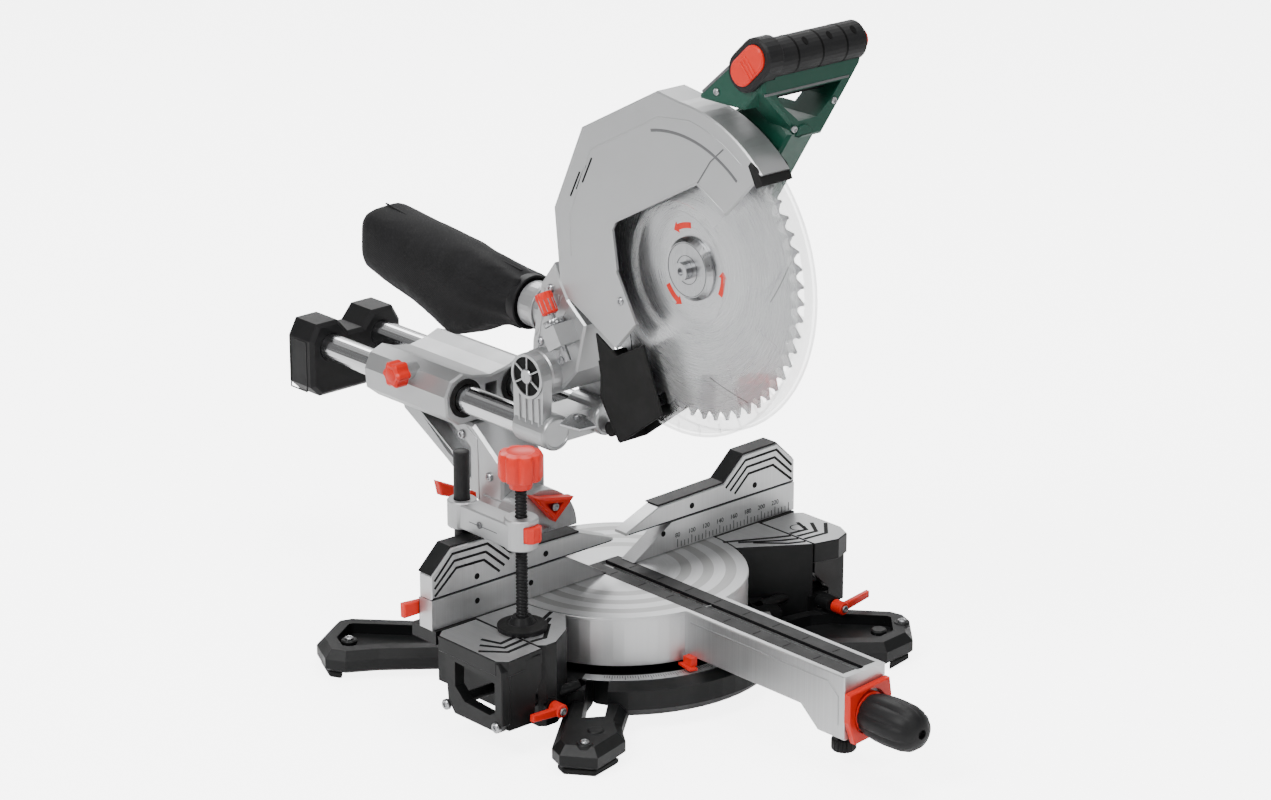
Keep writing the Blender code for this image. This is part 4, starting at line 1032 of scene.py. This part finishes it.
def bag_shell(squareness, steps=40):
    """A lofted shell through the stations, squarer than an ellipse, with its two ends closed."""
    points = []
    rows = []
    for first, second in zip(BAG_STATIONS, BAG_STATIONS[1:]):
        for part in range(BAG_STEPS_BETWEEN):
            rows.append([a + (b - a) * part / BAG_STEPS_BETWEEN for a, b in zip(first, second)])
    rows.append(list(BAG_STATIONS[-1]))
    for y, z, half_width, half_height in rows:
        for i in range(steps):
            angle = 2 * math.pi * i / steps
            across = math.copysign(abs(math.cos(angle)) ** squareness, math.cos(angle))
            up = math.copysign(abs(math.sin(angle)) ** squareness, math.sin(angle))
            points.append(Vector((half_width * across, y, z + half_height * up)))
    faces = [list(range(steps)), list(range(len(points) - steps, len(points)))]
    for ring in range(len(rows) - 1):
        for i in range(steps):
            j = (i + 1) % steps
            faces.append([ring * steps + i, ring * steps + j, (ring + 1) * steps + j, (ring + 1) * steps + i])
    return points, faces


def crease(point):
    """How far the cloth sinks at a point, in metres: gathers by the neck that die out along the bag."""
    along = (point.y - ORIGIN.y) / MM
    gather = max(0.0, 1.0 - (along - 140) / 110)
    angle = math.atan2(point.z - ORIGIN.z - 0.256, point.x)
    folds = math.sin(angle * 9 + along * 0.03) * 1.6 * gather
    slack = noise.noise(Vector((point.x * 26, point.y * 11, point.z * 26))) * 3.4
    return (folds + slack * min(1.0, (along - 131) / 40)) * MM


def build_dust_bag(sizes):
    """The cloth bag: remeshed, puffed out by a short cloth run, capped, creased and smoothed."""
    bag = piece("cloth_dust_bag", [bag_shell(0.56)], "Bag cloth", "head", 0, ["dust_bag"])
    remesh = bag.modifiers.new("Even mesh", "REMESH")
    remesh.mode = "VOXEL"
    remesh.voxel_size = sizes.bag_voxel
    apply_modifiers(bag)
    start = [v.co.copy() for v in bag.data.vertices]
    cloth = bag.modifiers.new("Puffed cloth", "CLOTH")
    cloth.settings.use_pressure = True
    cloth.settings.uniform_pressure_force = 4.0
    cloth.settings.quality = 5
    cloth.settings.tension_stiffness = 25.0
    cloth.settings.compression_stiffness = 25.0
    cloth.settings.bending_stiffness = 1.2
    cloth.settings.effector_weights.gravity = 0.0
    cloth.point_cache.frame_end = CLOTH_FRAMES
    for number in range(1, CLOTH_FRAMES + 1):
        bpy.context.scene.frame_set(number)
    apply_modifiers(bag)
    bpy.context.scene.frame_set(1)
    middle = sum(start, Vector()) / len(start)
    for vertex, before in zip(bag.data.vertices, start):
        step = vertex.co - before
        if step.length > sizes.bag_swell:
            step *= sizes.bag_swell / step.length
        inward = Vector((middle.x - before.x, 0.0, middle.z - before.z)).normalized()
        vertex.co = before + step + inward * crease(before)
    smooth = bag.modifiers.new("Soft form", "SUBSURF")
    smooth.levels = 1
    smooth.render_levels = 1
    bag.data.shade_smooth()
    collar = [(26.8, 131.5), (28.6, 132.5), (29.2, 138), (28.6, 143), (27.2, 144), (26.6, 138)]
    piece("bag_collar", [turned(collar, "Y", (0, OUTLET_Z), 56)], "Black plastic", "head", 0.3)
    seam = []
    for y, z, half_width, half_height in BAG_STATIONS[1:-1]:
        seam.append((y, z + half_height + 0.6))
    piece("bag_seam", [prism(ribbon(seam, 1.6), "X", -1.2, 1.2)], "Bag cloth", "head", 0.4)


def apply_modifiers(obj):
    """Keeps the shape that the modifiers make and removes them."""
    bpy.context.view_layer.update()
    graph = bpy.context.evaluated_depsgraph_get()
    mesh = bpy.data.meshes.new_from_object(obj.evaluated_get(graph))
    old = obj.data
    obj.modifiers.clear()
    obj.data = mesh
    bpy.data.meshes.remove(old)


# Stage.


def build_stage(view):
    """Pale floor that curves up behind, soft lights and the camera."""
    start = 4.0
    rows = [(-FLOOR_HALF, 0.0), (start, 0.0)]
    rows += arc((start, FLOOR_BEND), FLOOR_BEND, -80, 0, 8)
    rows.append((start + FLOOR_BEND, 12.0))
    points = [Vector((x, y, z)) for y, z in rows for x in (-FLOOR_HALF, FLOOR_HALF)]
    faces = [[2 * i, 2 * i + 1, 2 * i + 3, 2 * i + 2] for i in range(len(rows) - 1)]
    mesh = bpy.data.meshes.new("floor")
    turn = Matrix.Rotation(view.azimuth, 4, "Z")
    mesh.from_pydata([turn @ p for p in points], [], faces)
    mesh.shade_smooth()
    floor = bpy.data.objects.new("floor", mesh)
    bpy.context.scene.collection.objects.link(floor)
    tree, shader = blank("Pale floor", 0.9, Specular_IOR_Level=0.2)
    shader.inputs["Base Color"].default_value = (*view.floor_colour, 1)
    seen = add(tree, "ShaderNodeLightPath").outputs["Is Camera Ray"]
    tree.links.new(tint(tree, seen, (0.08, 0.08, 0.08, 1), (1, 1, 1, 1)), shader.inputs["Emission Color"])
    shader.inputs["Emission Strength"].default_value = view.floor_glow
    floor.data.materials.append(bpy.data.materials["Pale floor"])
    world = bpy.data.worlds.new("Studio")
    world.use_nodes = True
    world.node_tree.nodes["Background"].inputs["Color"].default_value = (1, 1, 1, 1)
    world.node_tree.nodes["Background"].inputs["Strength"].default_value = view.fill
    bpy.context.scene.world = world
    centre = ORIGIN + Vector(view.aim)
    for name, degrees, rise, distance, size, power in (
        ("key", -84, 42, 2.6, 1.0, 62),
        ("top", 20, 80, 2.4, 1.4, 44),
        ("front", -8, 24, 3.0, 1.0, 18),
        ("back", 150, 38, 3.0, 1.4, 40),
    ):
        lamp = bpy.data.lights.new(name, "AREA")
        lamp.size = size
        lamp.energy = power
        shown = bpy.data.objects.new(name, lamp)
        bpy.context.scene.collection.objects.link(shown)
        aim_at(shown, centre, math.radians(degrees), math.radians(rise), distance)
    lens = bpy.data.cameras.new("camera")
    lens.lens = view.lens
    lens.sensor_width = 36.0
    camera = bpy.data.objects.new("camera", lens)
    bpy.context.scene.collection.objects.link(camera)
    aim_at(camera, centre, view.azimuth, view.elevation, view.distance)
    bpy.context.scene.camera = camera


def aim_at(obj, centre, azimuth, elevation, distance):
    back = Vector(
        (
            math.sin(azimuth) * math.cos(elevation), -math.cos(azimuth) * math.cos(elevation),
            math.sin(elevation)
        )
    )
    obj.location = centre + back * distance
    obj.rotation_euler = (-back).to_track_quat("-Z", "Y").to_euler()


# Add-on classes.


def colour_property(name, description, default):
    return bpy.props.FloatVectorProperty(
        name=name, description=description, default=default, subtype="COLOR", size=3, min=0.0, max=1.0
    )


class SawColours(bpy.types.PropertyGroup):
    cast_black: colour_property("Casting", "Powder coat of the base and legs", (0.005, 0.0053, 0.0056))
    plastic_black: colour_property("Black plastic", "Moulded black parts", (0.006, 0.006, 0.0065))
    silver: colour_property("Silver paint", "Painted head, guard and tilt castings", (0.40, 0.405, 0.41))
    red: colour_property("Controls", "Knobs, levers and buttons", (0.62, 0.016, 0.006))
    green: colour_property("Housing", "Motor housing and handle", (0.004, 0.048, 0.030))
    cloth: colour_property("Bag", "Cloth of the dust bag", (0.005, 0.005, 0.0055))


class SawSizes(bpy.types.PropertyGroup):
    figure_height: bpy.props.FloatProperty(
        name="Figure height", description="Height of the rule's figures",
        default=0.0052, subtype="DISTANCE", unit="LENGTH"
    )
    bag_voxel: bpy.props.FloatProperty(
        name="Bag mesh", description="Mesh size of the dust bag",
        default=0.005, subtype="DISTANCE", unit="LENGTH"
    )
    bag_swell: bpy.props.FloatProperty(
        name="Bag swell", description="Furthest that the cloth may puff out",
        default=0.004, subtype="DISTANCE", unit="LENGTH"
    )


class SawView(bpy.types.PropertyGroup):
    azimuth: bpy.props.FloatProperty(
        name="Azimuth", description="Direction of the camera round the saw", default=math.radians(
            -42.14
        ), subtype="ANGLE"
    )
    elevation: bpy.props.FloatProperty(
        name="Elevation", description="Height of the camera over the horizon", default=math.radians(
            19.45
        ), subtype="ANGLE"
    )
    distance: bpy.props.FloatProperty(
        name="Distance", description="From the camera to the point it looks at",
        default=3.924, subtype="DISTANCE", unit="LENGTH"
    )
    lens: bpy.props.FloatProperty(
        name="Lens", description="Focal length in millimetres", default=109.95, subtype="DISTANCE_CAMERA"
    )
    aim: bpy.props.FloatVectorProperty(
        name="Aim", description="Point looked at, from the saw's origin", default=(
            0.0212, 0.0, 0.1776
        ), subtype="XYZ", size=3
    )
    fill: bpy.props.FloatProperty(
        name="Fill", description="Strength of the light from all round", default=0.24, min=0.0
    )
    floor_glow: bpy.props.FloatProperty(
        name="Floor glow", description="How bright the floor looks by itself", default=5.0, min=0.0
    )
    floor_colour: colour_property("Floor", "Colour of the floor", (0.92, 0.92, 0.92))


class SAW_OT_finishes(bpy.types.Operator):
    """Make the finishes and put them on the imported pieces"""
    bl_idname = "saw.finishes"
    bl_label = "Finishes"

    def execute(self, context):
        make_finishes(context.scene.saw_colours)
        dress_packed_pieces()
        return {"FINISHED"}


class SAW_OT_base(bpy.types.Operator):
    """Add the base's tops, scale, rule and foot bolts"""
    bl_idname = "saw.base"
    bl_label = "Base"

    def execute(self, context):
        build_base(context.scene.saw_sizes)
        return {"FINISHED"}


class SAW_OT_fences(bpy.types.Operator):
    """Add the sliding fences' grooves and lips"""
    bl_idname = "saw.fences"
    bl_label = "Sliding fences"

    def execute(self, context):
        build_sliding_fences()
        return {"FINISHED"}


class SAW_OT_table_ends(bpy.types.Operator):
    """Add the table ends' tops, grooves and screws"""
    bl_idname = "saw.table_ends"
    bl_label = "Table ends"

    def execute(self, context):
        build_table_ends()
        return {"FINISHED"}


class SAW_OT_turntable(bpy.types.Operator):
    """Add the turntable's screws, marks, relief lines and rim"""
    bl_idname = "saw.turntable"
    bl_label = "Turntable"

    def execute(self, context):
        build_turntable()
        return {"FINISHED"}


class SAW_OT_mitre_controls(bpy.types.Operator):
    """Add the fluted grip, the detent collar and the ribbed foot"""
    bl_idname = "saw.mitre_controls"
    bl_label = "Mitre controls"

    def execute(self, context):
        build_mitre_controls()
        return {"FINISHED"}


class SAW_OT_hold_down(bpy.types.Operator):
    """Add the hold-down's thread, knob, caps and rim"""
    bl_idname = "saw.hold_down"
    bl_label = "Hold-down"

    def execute(self, context):
        build_hold_down()
        return {"FINISHED"}


class SAW_OT_rails(bpy.types.Operator):
    """Add the tilt arm's and rails' bolts, ribs, wipers and rings"""
    bl_idname = "saw.rails"
    bl_label = "Tilt arm and rails"

    def execute(self, context):
        build_tilt_and_rails()
        return {"FINISHED"}


class SAW_OT_head(bpy.types.Operator):
    """Add the head's ribs, bolts, guard lines, buffer, and vents drawn as painted shade"""
    bl_idname = "saw.head"
    bl_label = "Head and guard"

    def execute(self, context):
        build_head()
        return {"FINISHED"}


class SAW_OT_blade(bpy.types.Operator):
    """Add the blade's tips, slots drawn as painted shade, arrows and flange rings"""
    bl_idname = "saw.blade"
    bl_label = "Blade"

    def execute(self, context):
        build_blade()
        return {"FINISHED"}


class SAW_OT_lower_guard(bpy.types.Operator):
    """Add the clear guard's bead and ribs"""
    bl_idname = "saw.lower_guard"
    bl_label = "Clear guard"

    def execute(self, context):
        build_lower_guard()
        return {"FINISHED"}


class SAW_OT_handle(bpy.types.Operator):
    """Add the handle's grooves and holes drawn as painted shade, ridges, trims and screws"""
    bl_idname = "saw.handle"
    bl_label = "Handle"

    def execute(self, context):
        build_handle()
        return {"FINISHED"}


class SAW_OT_dust_bag(bpy.types.Operator):
    """Add the cloth dust bag with its collar and seam"""
    bl_idname = "saw.dust_bag"
    bl_label = "Dust bag"

    def execute(self, context):
        build_dust_bag(context.scene.saw_sizes)
        return {"FINISHED"}


class SAW_OT_stage(bpy.types.Operator):
    """Add the floor, the lights and the camera"""
    bl_idname = "saw.stage"
    bl_label = "Stage"

    def execute(self, context):
        build_stage(context.scene.saw_view)
        return {"FINISHED"}


STEPS = (
    SAW_OT_finishes,
    SAW_OT_base,
    SAW_OT_fences,
    SAW_OT_table_ends,
    SAW_OT_turntable,
    SAW_OT_mitre_controls,
    SAW_OT_hold_down,
    SAW_OT_rails,
    SAW_OT_head,
    SAW_OT_blade,
    SAW_OT_lower_guard,
    SAW_OT_handle,
    SAW_OT_dust_bag,
    SAW_OT_stage,
)


class SAW_PT_panel(bpy.types.Panel):
    """Sizes, colours and steps of the mitre saw"""
    bl_label = "Mitre Saw"
    bl_space_type = "VIEW_3D"
    bl_region_type = "UI"
    bl_category = "Mitre Saw"

    def draw(self, context):
        scene = context.scene
        for group in (scene.saw_colours, scene.saw_sizes, scene.saw_view):
            column = self.layout.column()
            for label in group.bl_rna.properties.keys():
                if label not in ("rna_type", "name"):
                    column.prop(group, label)
        for step in STEPS:
            self.layout.operator(step.bl_idname)


CLASSES = (SawColours, SawSizes, SawView, *STEPS, SAW_PT_panel)


def register():
    for item in CLASSES:
        bpy.utils.register_class(item)
    bpy.types.Scene.saw_colours = bpy.props.PointerProperty(type=SawColours)
    bpy.types.Scene.saw_sizes = bpy.props.PointerProperty(type=SawSizes)
    bpy.types.Scene.saw_view = bpy.props.PointerProperty(type=SawView)


def unregister():
    del bpy.types.Scene.saw_view
    del bpy.types.Scene.saw_sizes
    del bpy.types.Scene.saw_colours
    for item in reversed(CLASSES):
        bpy.utils.unregister_class(item)


def main():
    register()
    bpy.ops.saw.finishes()
    bpy.ops.saw.base()
    bpy.ops.saw.fences()
    bpy.ops.saw.table_ends()
    bpy.ops.saw.turntable()
    bpy.ops.saw.mitre_controls()
    bpy.ops.saw.hold_down()
    bpy.ops.saw.rails()
    bpy.ops.saw.head()
    bpy.ops.saw.blade()
    bpy.ops.saw.lower_guard()
    bpy.ops.saw.handle()
    bpy.ops.saw.dust_bag()
    bpy.ops.saw.stage()


if __name__ == "__main__":
    main()
